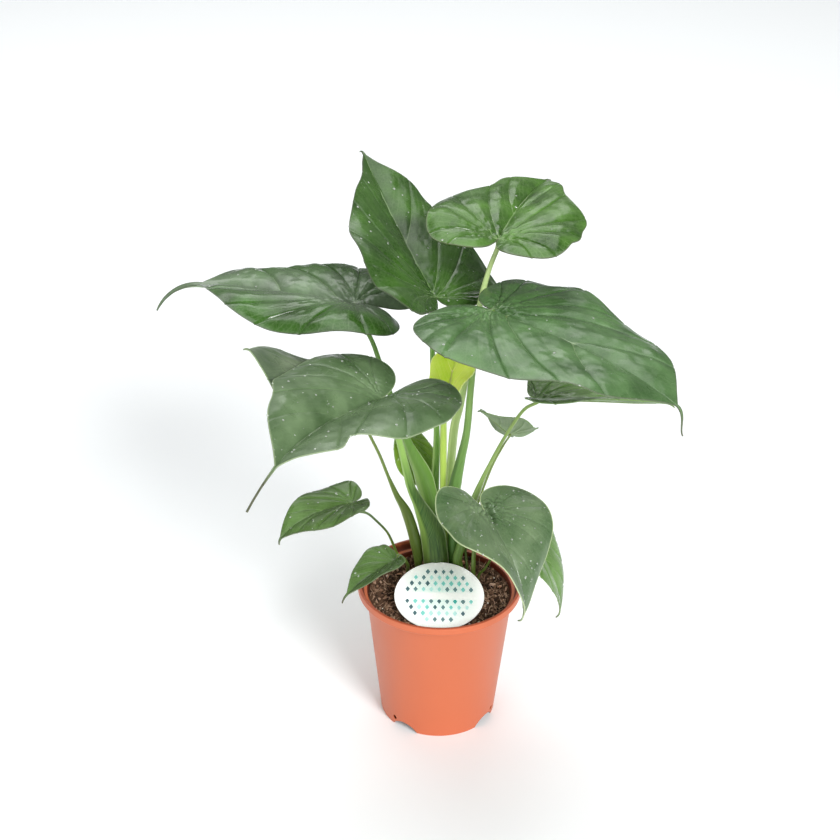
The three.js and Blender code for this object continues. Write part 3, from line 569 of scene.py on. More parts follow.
# values that are given together, in this order
groups = {
    "aim": ("heading", "pitch", "roll"), "size": ("length", "lobe", "half", "tail"),
    "bend": ("droop", "swing", "twist"), "cup": ("fold", "curl", "lobeLift", "lobeFold"),
}
leaves = [
    {"name": "leaf_01", "skin": "dark", "stalk": "deepStem", "at": [-6, 21, 330], "aim": [118, 27, 20],
     "size": [134, 12, 57, 10], "full": 0.4, "bend": [-1, -4, -3], "cup": [20, 24, 29, 16],
     "wave": [2.6, 2, 250, 210], "tailBend": [64, -2], "left": [2, 3, -1, -5.5],
     "right": [1.5, -3.5, -5, 6.5], "crease": 0.65, "quilt": 0.7, "pleat": 0.5, "crinkle": 0.8,
     "foot": [-3.5, 42, 8, 4.5], "stem": [[-5, 41, 154.5, 7.5, 4.5], [-4.5, 39.5, 179, 6, 4.5],
     [-4, 36, 217, 4.4, 4], [-7, 36, 259.5, 4, 3.8], [-8, 33, 287.5, 3.6, 3.4]]},
    {"name": "leaf_02", "skin": "mid", "stalk": "paleStem", "at": [35, 16, 376], "aim": [74, 4, 2],
     "size": [109, 24, 52, 10], "full": 0.4, "bend": [8, -10, -2], "cup": [26, 37, -6, -14],
     "wave": [4.8, 1.1, 30, 85], "tailBend": [27, -1], "left": [-1, 0, -8, 0.5],
     "right": [2.5, 5, -4, 2.5], "crease": 0.7, "quilt": 1.1, "pleat": 0.1, "crinkle": 1.3,
     "foot": [9, 44, 7, 4.5], "stem": [[6.5, 41, 154.5, 6.5, 4.5], [6.5, 39, 175, 6, 4.5],
     [8.5, 35, 218, 6.4, 4.5], [12.5, 34.5, 239, 5.6, 4.5], [16.5, 34, 266, 5, 4.4],
     [21.5, 26, 302.5, 4.6, 4.2], [25.5, 14.5, 336, 4.2, 3.8], [30, 15, 355.5, 3.4, 3.4]]},
    {"name": "leaf_03", "skin": "satin", "stalk": "broadStem", "at": [31, -19, 341], "aim": [-40, 1, -2],
     "size": [152, 23, 69, 22.5], "full": 0.9, "bend": [17, -5, -5], "cup": [2, 12, 3, 6],
     "wave": [5.6, 1.7, 275, 65], "tailBend": [104, -99], "tailThin": 1.8, "left": [1.5, -1.5, 1, 3],
     "right": [7.5, -3, 0, 10], "quilt": 1.2, "pleat": 0.7, "crinkle": 1.7, "foot": [10.5, 30, 9, 5],
     "stem": [[9.5, 24, 165.5, 9.5, 5], [10.5, 21, 182.5, 9, 5], [14, 18, 205.5, 6.5, 5],
     [17.5, 14, 230, 5.2, 5], [19.5, 15, 263.5, 4.8, 4.8], [22, 10, 299, 4.6, 4.6], [26, -8, 323, 4, 4]]},
    {"name": "leaf_04", "skin": "glossy", "stalk": "sheathStem", "at": [-62, 30, 320],
     "aim": [164, -1, 3], "size": [118, 37, 61, 44], "full": 1, "bend": [4.5, -5, 6],
     "cup": [26, 53, 34, 2], "wave": [4.5, 1.3, 25, 215], "tailBend": [58, 14], "tailRoll": -60,
     "tipHalf": 4.6, "left": [1, 0.5, 1, 0.5], "right": [0, 0, -3, 14], "quilt": 1.4, "pleat": 0.9,
     "crinkle": 1.2, "foot": [-5.5, 32.5, 12, 4.5], "stem": [[-7, 32, 147, 13, 4.2],
     [-12.5, 31, 178, 14, 3.8], [-19.5, 30, 197, 10, 4], [-25, 29, 211.5, 6.2, 4],
     [-34, 28, 239, 4.6, 4], [-44.5, 28, 275, 3.5, 3.4], [-51, 29, 294, 3.2, 3.2]]},
    {"name": "leaf_05", "skin": "olive", "stalk": "frontStem", "at": [-40, -60, 295],
     "aim": [238, 12, -3], "size": [127, 34, 59, 46], "full": 0.5, "bend": [15, 13, -11],
     "cup": [33, 51, -19, -2], "wave": [3.7, 1.6, 285, 85], "tailBend": [5, 5], "tailThin": 2.4,
     "left": [3.5, 0, -11, 11], "right": [0, -2, -4.5, 1], "crease": 0.6, "quilt": 0.5, "pleat": 0.15,
     "crinkle": 0.8, "foot": [-2, 24.7, 19, 5.5], "stem": [[-5.5, 21, 135.5, 19, 5.5],
     [-11.5, 17, 155.5, 13.5, 5], [-16, 13, 169, 9.5, 4.6], [-21.5, 8, 185, 6.6, 4.4],
     [-24, 3, 199, 6.2, 4.3], [-26.5, -5, 216, 5.4, 4.1], [-30, -18, 241, 4.6, 3.8],
     [-34.5, -37, 267.5, 3.4, 3.4]]},
    {"name": "leaf_06", "skin": "grey", "stalk": "thinStem", "at": [-66, -21, 289],
     "aim": [208, 20, -22], "size": [81, 22, 40, 6], "full": 0.5, "bend": [-24, 15, -4],
     "cup": [-8, 44, 0, 0], "wave": [4.5, 1.5, 245, 190], "tailBend": [37, 10], "foot": [-16, 32, 5, 4],
     "stem": [[-17.6, 31, 120, 9, 4], [-24.8, 28, 150, 8, 3.6], [-32.4, 25, 168, 4.4, 2.8],
     [-38.5, 21, 186.5, 2.4, 2.3], [-44.5, 15, 208, 2.2, 2.2], [-52, 7, 231, 2.2, 2.2],
     [-60, -6, 260, 2.2, 2.2]]},
    {"name": "leaf_07", "skin": "dull", "stalk": "darkStem", "at": [-63, -10, 183], "aim": [203, 1, 6],
     "size": [58, 11, 26, 6], "full": 0.5, "bend": [50, -1, -19], "cup": [15, 19, -25, 6],
     "wave": [2.7, 1.4, 345, 75], "tailBend": [50, -2], "left": [0, 0, 0.5, 0],
     "foot": [-28, 40, 2.4, 2.4], "stem": [[-32.5, 38, 108.5, 2.2, 2.2], [-35.5, 34, 120, 2, 2],
     [-39.5, 27, 134.5, 1.8, 1.8], [-46.5, 15, 151.5, 1.8, 1.8], [-53.5, 1, 167.5, 1.8, 1.8]]},
    {"name": "leaf_08", "skin": "dull", "stalk": "thinStem", "at": [-33, -20, 141], "aim": [217, -9, 11],
     "size": [42, 6, 19, 8], "full": 0.5, "bend": [30, -8, -11], "cup": [20, 2, -29, 11],
     "wave": [-1.4, 1.7, 300, 150], "tailBend": [35, -6], "foot": [-24, 28, 2.8, 2.8],
     "stem": [[-24, 22, 109, 2.6, 2.6], [-27, 8, 124.5, 2.2, 2.2], [-30.5, -8, 137, 2, 2]]},
    {"name": "leaf_09", "skin": "dewy", "stalk": "thinStem", "at": [30, -32, 192],
     "aim": [-62, -11, -19], "size": [86, 19, 43, 10], "full": 0.3, "bend": [87, 11, -16],
     "cup": [24, 31, 0, 2], "wave": [9.6, 0.8, 355, 180], "tailBend": [54, -10],
     "left": [0, 0.5, 1.5, -1.5], "right": [1, 4, -5.5, -0.5], "crease": 0.35, "quilt": 0.4,
     "pleat": 0.1, "crinkle": 4, "foot": [25, 17, 3.4, 3.4], "stem": [[25, 12, 127.5, 3.2, 3.2],
     [26.5, -2, 156.5, 3, 3], [27.5, -17, 179, 2.8, 2.8]]},
    {"name": "leaf_10", "skin": "pale", "stalk": "thinStem", "at": [62, -13, 164], "aim": [-23, -52, -9],
     "size": [68, 18, 33, 8], "full": 0.3, "bend": [35, -2, -6], "cup": [12, 13, 0, 0],
     "wave": [1, 1.5, 345, 105], "tailBend": [45, -5], "foot": [29, 22, 2, 2],
     "stem": [[33.5, 20, 108, 1.8, 1.8], [38, 17, 119, 1.7, 1.7], [46, 12, 136.5, 1.7, 1.7],
     [55.5, 2, 153.5, 1.7, 1.7]]},
    {"name": "leaf_11", "skin": "pale", "stalk": "lightStem", "at": [65, -8, 269], "aim": [-5, 3, -16],
     "size": [87, 8, 37, 8], "full": 0.5, "bend": [9, 9, -6], "cup": [11, 6, -3, 3],
     "wave": [1.4, 1.5, 15, 125], "tailBend": [39, 0], "left": [0, 2, 6, 6], "foot": [16, 22, 7, 5],
     "neck": 3, "stem": [[13, 22.5, 114, 7, 4.6], [16, 21.5, 129.5, 7, 4.4], [20, 19.5, 152, 6.4, 4],
     [24.5, 17.5, 171.5, 5.4, 3.6], [29.5, 15, 188.5, 3.6, 3], [34.5, 12, 203.5, 2.7, 2.6],
     [41.5, 8, 222.5, 2.5, 2.5], [49.5, 3, 242, 2.5, 2.5], [57, -2, 257, 2.4, 2.4]]},
    {"name": "leaf_12", "skin": "pale", "stalk": "thinStem", "at": [49, 33, 217], "aim": [223, 47, 20],
     "size": [42.5, 12, 23, 5], "full": 0.3, "bend": [7, 7, -23], "cup": [16, -7, -10, 3],
     "wave": [2.7, 1.4, 125, 175], "tailBend": [27, 2], "foot": [20.5, 31, 2.2, 2.2], "neck": 2.5,
     "stem": [[19.5, 38, 119, 2, 2], [27, 42, 149.5, 1.8, 1.8], [36.5, 44, 181, 1.7, 1.7],
     [44.5, 43, 200.5, 1.6, 1.6]]},
    {"name": "leaf_13", "skin": "fresh", "stalk": "thinStem", "at": [-24, 60, 197],
     "aim": [-59, -50, -35], "size": [39, 11, 21, 5], "full": 0.8, "bend": [20, -8, 55],
     "cup": [6, 16, -18, 1], "wave": [0.5, 1.6, 350, 145], "tailBend": [20, 0], "foot": [-10, 47, 3, 3],
     "stem": [[-8, 56, 127, 2.8, 2.8], [-14.5, 66, 154.5, 2.6, 2.6], [-21, 71, 173.5, 2.4, 2.4],
     [-23.5, 69, 185, 2.2, 2.2]]},
    {"name": "leaf_14", "skin": "young", "stalk": "youngStem", "at": [3, -4, 267.5],
     "aim": [74, 46, -30], "size": [44, 12, 22, 5], "full": 0.6, "bend": [25, 1, 9],
     "cup": [17, 9, 0, 1], "wave": [6, 1.4, 50, 285], "tailBend": [40, 0], "left": [0, -0.5, 0.5, 0],
     "crease": 0.05, "quilt": 0.6, "crinkle": 0.5, "foot": [5, 38, 5.5, 4.5],
     "stem": [[2, 33, 159.5, 5.2, 4.5], [1.5, 30, 180.5, 5.2, 4.5], [1, 21.5, 217.5, 5, 4.5],
     [1.5, 8, 248, 4.2, 3.8]]},
]
leaves = [{**usual, **leaf} for leaf in leaves]
for leaf in leaves:
    for group, names in groups.items():
        leaf.update(zip(names, leaf[group]))

blade = {
    "thickness": 0.7, "smooth": 50, "bigLength": 75, "longTail": 20, "fullHalf": 55,
    # points along half a margin: sinus, lobe, flank and tip; then rows from midrib to margin
    "bigCounts": (26, 46, 100), "bigTail": (32, 14), "bigRows": 42,
    "smallCounts": (14, 24, 52), "smallTail": (9, 9), "smallRows": 24,
    # where the side veins end: share of the lobe's curve, then share of the flank's curve
    "lobeVeins": (0.12, 0.5), "flankVeins": (0.02, 0.24, 0.46, 0.7),
    "ribAlong": 0.37, "ribOut": 0.63, "rootFrom": 0.55, "rootBend": 1.6,
    "veinWidth": 0.42, "midribWidth": 0.6, "creaseWidth": 2.7,
    "veinDepth": 0.8, "midribDepth": 0.8, "midribReach": 3.2, "level": 0.05, "tipFrom": 0.96,
    "tipOver": 0.2, "plainRim": 0.16, "rowCrowding": 1.12, "pleatsAt": (0.28, 0.5, 0.73),
    # length and direction of the fine wrinkles, the short ones only near the stalk
    "wrinkles": ((19, 2.0), (11, 0.4), (6.7, 1.5), (4.1, 2.4)), "shortWrinkle": 10,
    "quilt": 1.9, "quiltReach": 7, "pleat": 0.7, "pleatWidth": 3.6, "crinkle": 0.13,
}


def bezier(a, b, c, d, count):
    t = np.linspace(0, 1, count + 1)[:, None]
    a, b, c, d = [np.array(p, float) for p in (a, b, c, d)]
    return (1 - t) ** 3 * a + 3 * (1 - t) ** 2 * t * b + 3 * (1 - t) * t ** 2 * c + t ** 3 * d


def margin(leaf, hand):  # half an outline in the flat leaf, x along the midrib and y out
    length, lobe, half, full = leaf["length"], leaf["lobe"], leaf["half"], leaf["full"]
    big = length > blade["bigLength"]
    sinus, shoulder, flank = blade["bigCounts"] if big else blade["smallCounts"]
    drip = (blade["bigTail"] if big else blade["smallTail"])[leaf["tail"] <= blade["longTail"]]
    t = np.linspace(0, 1, drip + 1)[1:, None]
    tip = np.array([length, leaf["tipHalf"]])
    points = np.concatenate([
        bezier((0, 0), (-0.5 * lobe, 0.02 * half), (-lobe, 0.08 * half),
               (-lobe, 0.42 * half), sinus)[:-1],
        bezier((-lobe, 0.42 * half), (-lobe, 0.8 * half), (-0.14 * length, half),
               (0.13 * length, half), shoulder)[:-1],
        bezier((0.13 * length, half), ((0.46 + 0.16 * full) * length, half),
               ((0.78 + 0.04 * full) * length, (0.2 + 0.3 * full) * half), tip, flank),
        np.hstack([length + leaf["tail"] * t,
                   0.4 + (leaf["tipHalf"] - 0.4) * (1 - t) ** leaf["tailThin"]]),
    ])
    fade = unit((length - points[:, 0]) / (0.1 * length))
    fade = fade * unit(points[:, 1] / (0.5 * half))
    for i, bulge in enumerate(leaf["left"] if hand > 0 else leaf["right"]):
        away = (points[:, 0] / length - (0.12 + 0.24 * i)) / 0.11
        points[:, 1] += fade * bulge * np.exp(-away ** 2)
    shares = [round(v * shoulder) + sinus for v in blade["lobeVeins"]]
    shares += [round(v * flank) + sinus + shoulder for v in blade["flankVeins"]]
    return points, shares


def direction(leaf, x):
    way = unit(x / leaf["length"])
    back = np.maximum(-x / leaf["lobe"], 0)
    beyond = unit((x - leaf["length"]) / leaf["tail"])
    drop, swing = leaf["tailBend"]
    pitch = leaf["pitch"] - leaf["droop"] * way ** 1.6 + leaf["lobeLift"] * back - drop * beyond
    heading = leaf["heading"] + leaf["swing"] * way ** 2 + swing * beyond
    pitch, heading = np.radians(pitch), np.radians(heading)
    flat = np.cos(pitch)
    forward = np.stack([flat * np.cos(heading), flat * np.sin(heading), np.sin(pitch)], -1)
    level = np.stack([-np.sin(heading), np.cos(heading), 0 * heading], -1)
    return forward, level


def bent(leaf, x):  # centre line and the side and up directions at x along the midrib
    steps = 160
    line = np.linspace(-1.05 * leaf["lobe"], leaf["length"] + leaf["tail"], steps + 1)
    forward, level = direction(leaf, line)
    pieces = (forward[1:] + forward[:-1]) / 2 * (line[1] - line[0])
    track = np.concatenate([np.zeros((1, 3)), np.cumsum(pieces, 0)])
    centre = np.stack([np.interp(x, line, way) - np.interp(0, line, way) for way in track.T], -1)
    forward, level = direction(leaf, x)
    upright = np.cross(forward, level)
    beyond = unit((x - leaf["length"]) / leaf["tail"])
    roll = leaf["roll"] + leaf["twist"] * np.clip(x / leaf["length"], -1, 1) + leaf["tailRoll"] * beyond
    cos, sin = np.cos(np.radians(roll))[..., None], np.sin(np.radians(roll))[..., None]
    return centre, cos * level + sin * upright, cos * upright - sin * level


def formed(leaf, x, y, hand):  # flat leaf to its bent, folded, curled and waved form
    centre, side, up = bent(leaf, x)
    half, lobe = leaf["half"], leaf["lobe"]
    crease = np.radians(leaf["fold"] + leaf["lobeFold"] * np.maximum(-x / lobe, 0))
    turn = math.radians(leaf["curl"])
    share = y / half
    across = half / turn * (np.sin(crease) - np.sin(crease - turn * share))
    height, count, phase, lag = leaf["wave"]
    cycle = 2 * np.pi * count * (x + lobe) / (leaf["length"] + lobe)
    cycle = cycle + np.radians(phase + np.where(hand > 0, 0, lag))
    lift = half / turn * (np.cos(crease - turn * share) - np.cos(crease))
    lift = lift + height * share ** 2 * np.sin(cycle)
    return np.array(leaf["at"]) + centre + (hand * across)[..., None] * side + lift[..., None] * up


def ribs(leaf, edge, shares):  # curves from the midrib to the margin, at these shares of their way
    length = leaf["length"]
    reach = unit((edge[:, 0] / length - blade["rootFrom"]) / (1 - blade["rootFrom"]))
    root = np.where(edge[:, 0] < length, length * reach ** blade["rootBend"], edge[:, 0])
    root = np.stack([root, 0 * root], 1)
    middle = root + (edge - root) * np.array([blade["ribAlong"], blade["ribOut"]])
    t = np.asarray(shares)[None, :, None]
    return (1 - t) ** 2 * root[:, None] + 2 * (1 - t) * t * middle[:, None] + t ** 2 * edge[:, None]


def nearest(points, line):  # distance from each point to a polyline, and how far along it that is
    a, b = line[:-1], line[1:]
    step = b - a
    size = np.maximum((step ** 2).sum(1), 1e-12)
    off = points[:, None] - a
    t = unit((off * step).sum(2) / size)
    away = np.linalg.norm(off - t[..., None] * step, axis=2)
    best = away.argmin(1)
    pick = np.arange(len(points))
    return away[pick, best], (best + t[pick, best]) / len(a)


def fineness(leaf):  # small leaves have finer relief
    return min(1, leaf["half"] / blade["fullHalf"])


def tipFade(leaf, x):  # 1 on most of the blade, 0 at its tip
    end = leaf["length"] * blade["tipFrom"]
    return unit((end - x) / (blade["tipOver"] * leaf["length"]))


def relief(leaf, flat, hand, edge, veins):
    # distances to the veins in the flat leaf, then grooves over them and swellings between them
    length, half = leaf["length"], leaf["half"]
    small = fineness(leaf)
    grid = flat.reshape(-1, 2)
    slim = 0.45 + 0.55 * small
    widths = blade["midribWidth"] * slim * (1.12 - unit(grid[:, 0] / length))
    behind = np.maximum(-grid[:, 0], 0)
    midrib = np.hypot(grid[:, 1], behind)
    main = midrib / np.maximum(widths, 0.15)
    near = midrib.copy()
    minor = np.full(len(grid), 99.0)
    lines = ribs(leaf, edge, np.linspace(0, 1, 25))
    for vein in veins:
        away, along = nearest(grid, lines[vein])
        width = blade["veinWidth"] * slim * (1 - 0.72 * along)
        main = np.minimum(main, away / width + 0.9 * along ** 2)
        near = np.minimum(near, away + 6 * small * along)
    ends = veins + [veins[-1] + (len(edge) - veins[-1]) // 3]
    fold = minor.copy()
    for a, b in zip(ends, ends[1:]):
        for t in blade["pleatsAt"]:
            away, along = nearest(grid, lines[round(a + (b - a) * t)])
            away = away + 100 * np.maximum(0.12 - along, 0)
            minor = np.minimum(minor, away)
            if t == 0.5:
                fold = np.minimum(fold, away + 30 * np.maximum(along - chance.uniform(0.5, 0.9), 0))
    border, _ = nearest(grid, edge)
    inner = unit(border / (blade["plainRim"] * half))
    inner = inner * inner * (3 - 2 * inner)
    tipward = tipFade(leaf, grid[:, 0])
    reach = blade["quiltReach"] * small
    swell = blade["quilt"] * small * leaf["quilt"] * (1 - np.exp(-(near / reach) ** 2))
    swell *= inner * tipward
    dip = blade["pleat"] * leaf["pleat"] * small * np.exp(-(fold / blade["pleatWidth"]) ** 2)
    swell -= dip * inner * tipward
    crease = blade["veinDepth"] * np.exp(-(main / blade["creaseWidth"]) ** 2)
    crease += blade["midribDepth"] * np.exp(-(midrib / (blade["midribReach"] * small)) ** 2)
    swell -= crease * small * leaf["crease"] * (0.25 + 0.75 * tipward)
    close = np.exp(-((grid[:, 0] - 0.02 * length) ** 2 + grid[:, 1] ** 2) / (0.26 * half) ** 2)
    for size, turn in blade["wrinkles"]:
        a, b = chance.uniform(0, 6, 2)
        u = grid[:, 0] * math.cos(turn) + grid[:, 1] * math.sin(turn)
        v = grid[:, 1] * math.cos(turn) - grid[:, 0] * math.sin(turn)
        wrinkle = np.sin(u * 6.3 / size + a + 0.9 * np.sin(v * 3.1 / size + b)) * size / 6
        share = 0.45 + leaf["crinkle"] * 4.5 * close * (size < blade["shortWrinkle"])
        swell += blade["crinkle"] * small * wrinkle * share * (0.3 + 0.7 * inner)
    shape = flat.shape[:2]
    return [v.reshape(shape) for v in (swell, main, minor, border)]


tops = {}  # points, normals and spacing on each blade, for the drops


def makeBlade(leaf):
    rows = blade["bigRows"] if leaf["length"] > blade["bigLength"] else blade["smallRows"]
    shares = np.linspace(0, 1, rows + 1) ** blade["rowCrowding"]
    halves = {}
    for hand in (1, -1):
        edge, veins = margin(leaf, hand)
        flat = ribs(leaf, edge, shares)
        lift, main, minor, border = relief(leaf, flat, hand, edge, veins)
        points = formed(leaf, flat[..., 0], flat[..., 1], np.full(flat.shape[:2], hand))
        along, out = np.gradient(points, axis=0), np.gradient(points, axis=1)
        normal = np.cross(along, out) * hand
        size = np.linalg.norm(normal, axis=2, keepdims=True)
        fallback = bent(leaf, flat[..., 0])[2]
        normal = np.where(size > 1e-5, normal / np.maximum(size, 1e-9), fallback)
        normal = np.where((normal * fallback).sum(2, keepdims=True) < 0, -normal, normal)
        # the blade stays level where the stalk meets it
        joint = np.hypot(flat[..., 0], flat[..., 1])
        lift = lift * unit(joint / (blade["level"] * leaf["length"]))
        halves[hand] = (points + normal * lift[..., None], flat, main, minor, border)
        tops.setdefault(leaf["name"], []).append((halves[hand][0], normal, size))
    count = len(halves[1][1])
    piece, row, column = newGrid(leaf["name"] + "_lamina", 2 * rows, count - 1)
    column -= rows
    step = np.abs(column)
    left = column >= 0

    def pick(k):
        a, b = halves[1][k][row, step], halves[-1][k][row, step]
        return np.where(left[:, None] if a.ndim > 1 else left, a, b)

    place(piece, pick(0))
    for k, name in enumerate(("vein", "smallVein", "border")):
        setAttribute(piece, name, pick(k + 2))
    flat = pick(1) * np.where(left, 1, -1)[:, None] ** np.array([0, 1])
    setAttribute(piece, "along", flat[:, 0] / leaf["length"])
    corner = np.empty(len(piece.data.loops), np.int32)
    piece.data.loops.foreach_get("vertex_index", corner)
    piece.data.uv_layers[0].name = "flatLeaf"
    piece.data.uv_layers[0].data.foreach_set("uv", (flat[corner] * 0.01).astype(np.float32).ravel())
    mergeDoubles(piece, 0.004, closed=False)
    # the young leaf is as bright below as above
    for skin in (leaf["skin"], "young" if leaf["skin"] == "young" else "underside"):
        piece.data.materials.append(skins[skin])
    wall = piece.modifiers.new("wall", "SOLIDIFY")
    wall.thickness = blade["thickness"] * mm
    wall.offset = 0
    wall.material_offset = 1
    applyAll(piece)
    bpy.ops.object.shade_smooth_by_angle(angle=math.radians(blade["smooth"]))
    return piece


stalk = {
    "sides": 20, "perStation": 9, "foot": 87, "exit": 100, "curl": 0.16,
    "ridgeFrom": -1.2, "ridgeTo": 0.93, "ridgeSteps": 40, "ridgeSides": 10,
}


def route(points, count):  # even Catmull-Rom curve through the points, its ends carried straight on
    points = np.array(points, float)
    ends = np.concatenate([[2 * points[0] - points[1]], points, [2 * points[-1] - points[-2]]])
    places = np.linspace(0, len(points) - 1, count)
    i = np.minimum(places.astype(int), len(points) - 2)
    t = (places - i)[:, None]
    a, b, c, d = ends[i], ends[i + 1], ends[i + 2], ends[i + 3]
    m, n = (c - a) / 2, (d - b) / 2
    curve = (2 * b - 2 * c + m + n) * t ** 3 + (3 * c - 3 * b - 2 * m - n) * t ** 2 + m * t + b
    return curve, places


def makeTube(name, centre, width, thick, sides, curl, start=None):
    # an oval tube along the centre points; its first and last rings close to a point
    ahead = np.gradient(centre, axis=0)
    if start is not None:
        ahead[:start] = (0, 0, 1)
    ahead /= np.linalg.norm(ahead, axis=1)[:, None]
    broad = np.array([1.0, 0, 0]) - ahead * ahead[:, :1]
    broad /= np.linalg.norm(broad, axis=1)[:, None]
    deep = np.cross(ahead, broad)
    count = len(centre)
    piece, row, column = newGrid(name, sides, count + 1)
    ring = np.clip(row - 1, 0, count - 1)
    body = ((row > 0) & (row < count + 1)).astype(float)
    angle = 2 * np.pi * column / sides
    u = np.cos(angle) * body
    v = np.sin(angle) * body
    wing = np.clip(width[ring] / thick[ring] - 1.3, 0, 1.5) / 1.5
    bow = curl * width[ring] * wing * (u ** 2 - 0.35)
    thin = 1 - 0.35 * wing * u ** 2
    points = centre[ring] + broad[ring] * (width[ring] / 2 * u)[:, None] \
        + deep[ring] * (thick[ring] / 2 * v * thin + bow * body)[:, None]
    place(piece, points)
    setAttribute(piece, "across", np.where(body > 0, np.cos(angle), 0))
    setAttribute(piece, "wing", wing)
    way = np.concatenate([[0], np.cumsum(np.linalg.norm(np.diff(centre, axis=0), axis=1))])
    setAttribute(piece, "rise", way[ring])
    setAttribute(piece, "share", way[ring] / way[-1])
    setAttribute(piece, "round", angle / (2 * np.pi) * width[ring] * 2.6)
    mergeDoubles(piece, 0.0005)
    bpy.ops.object.shade_smooth()
    return piece


def makeStalk(leaf):
    _, _, up = bent(leaf, np.zeros(1))
    up = up[0]
    x, y, width, thick = leaf["foot"]
    last = leaf["stem"][-1]
    end = np.array(leaf["at"])
    stations = [[x, y, stalk["foot"], width, thick], [x, y, stalk["exit"], width, thick]] + leaf["stem"]
    stations.append([*(end - up * leaf["neck"]), last[3] * 0.95, last[4] * 0.95])
    stations.append([*(end - up * 0.1), last[3] * 0.95, last[4] * 0.9])
    stations = np.array(stations)
    count = stalk["perStation"] * (len(stations) - 1) + 1
    centre, places = route(stations[:, :3], count)
    centre[places < 1, :2] = (x, y)
    width = np.interp(places, range(len(stations)), stations[:, 3])
    thick = np.interp(places, range(len(stations)), stations[:, 4])
    return makeTube(
        leaf["name"] + "_stalk", centre, width, thick, stalk["sides"], stalk["curl"],
        stalk["perStation"])


def makeRidge(leaf):  # the midrib stands out under the blade, and tapers to the tip
    x = np.linspace(stalk["ridgeFrom"], leaf["length"] * stalk["ridgeTo"], stalk["ridgeSteps"])
    centre, side, up = bent(leaf, x)
    last = leaf["stem"][-1]
    wide = 0.8 * last[3] * (1 - 0.8 * unit(x / leaf["length"]) ** 0.7)
    # it follows the channel that the blade has above it
    sink = (blade["veinDepth"] + blade["midribDepth"]) * fineness(leaf) * leaf["crease"]
    sink = sink * (0.25 + 0.75 * tipFade(leaf, x))
    sink = sink * unit(x / (blade["level"] * leaf["length"]))
    centre = np.array(leaf["at"]) + centre - up * (0.35 + 0.16 * wide + sink)[:, None]
    return makeTube(leaf["name"] + "_ridge", centre, wide, wide * 0.8, stalk["ridgeSides"], 0)


# Living leaf: a waxed cuticle over green tissue, satin with a grey sheen where it mirrors the room
# deep and mid are the tissue, vein is the paler impressed vein and show how plain it is, rim is the
# margin, wax is how rough the cuticle is. dry is how brown the end of the drip tip has turned and
# paintedSheen how strong the grey painted sheen along the midrib is, a reflection laid into the colour.
leafTones = ("deep", "mid", "vein", "rim", "wax", "show", "dry", "paintedSheen")
leafColours = {
    "dark": ("#21400e", "#3f6524", "#87a26e", "#4d5a40", 0.25, 0.6, 0.85, 0),
    "mid": ("#24460d", "#548030", "#9dba80", "#56633f", 0.24, 0.6, 0.85, 0),
    "satin": ("#345628", "#5a7f4b", "#93aa7f", "#59664b", 0.25, 0.7, 0.85, 0),
    "glossy": ("#213f0b", "#3f6a26", "#92ab7e", "#4c5a40", 0.2, 0.6, 0, 0.42),
    "olive": ("#3c5630", "#69815b", "#7b9269", "#8a9c76", 0.28, 0.3, 0.85, 0),
    "grey": ("#485a42", "#6a775f", "#8ba07c", "#8a9c76", 0.3, 0.4, 0.85, 0),
    "dewy": ("#46623c", "#778c68", "#92a886", "#b9c79a", 0.26, 0.35, 0.85, 0),
    "dull": ("#3b5420", "#57773c", "#8aa56c", "#5a6a48", 0.28, 0.5, 0.85, 0),
    "pale": ("#4a6c2a", "#6e944e", "#9dbb7a", "#6c8a4c", 0.26, 0.5, 0.85, 0),
    "fresh": ("#4c7212", "#769a24", "#95b566", "#86a35c", 0.3, 0.5, 0.85, 0),
    "young": ("#c0e53a", "#e6fa70", "#fdffa8", "#e2f29a", 0.34, 1, 0.85, 0),
    "underside": ("#6b825d", "#8fa381", "#a4bd88", "#8da777", 0.5, 0.6, 0.85, 0),
}
# how far light spreads inside the thin, bright young leaf, in metres for red, green and blue
youngSpread = (0.0022, 0.003, 0.0008)


def readMarks(tree, *names):
    return [addNode(tree, "Attribute", attribute_name=name).outputs["Fac"] for name in names]


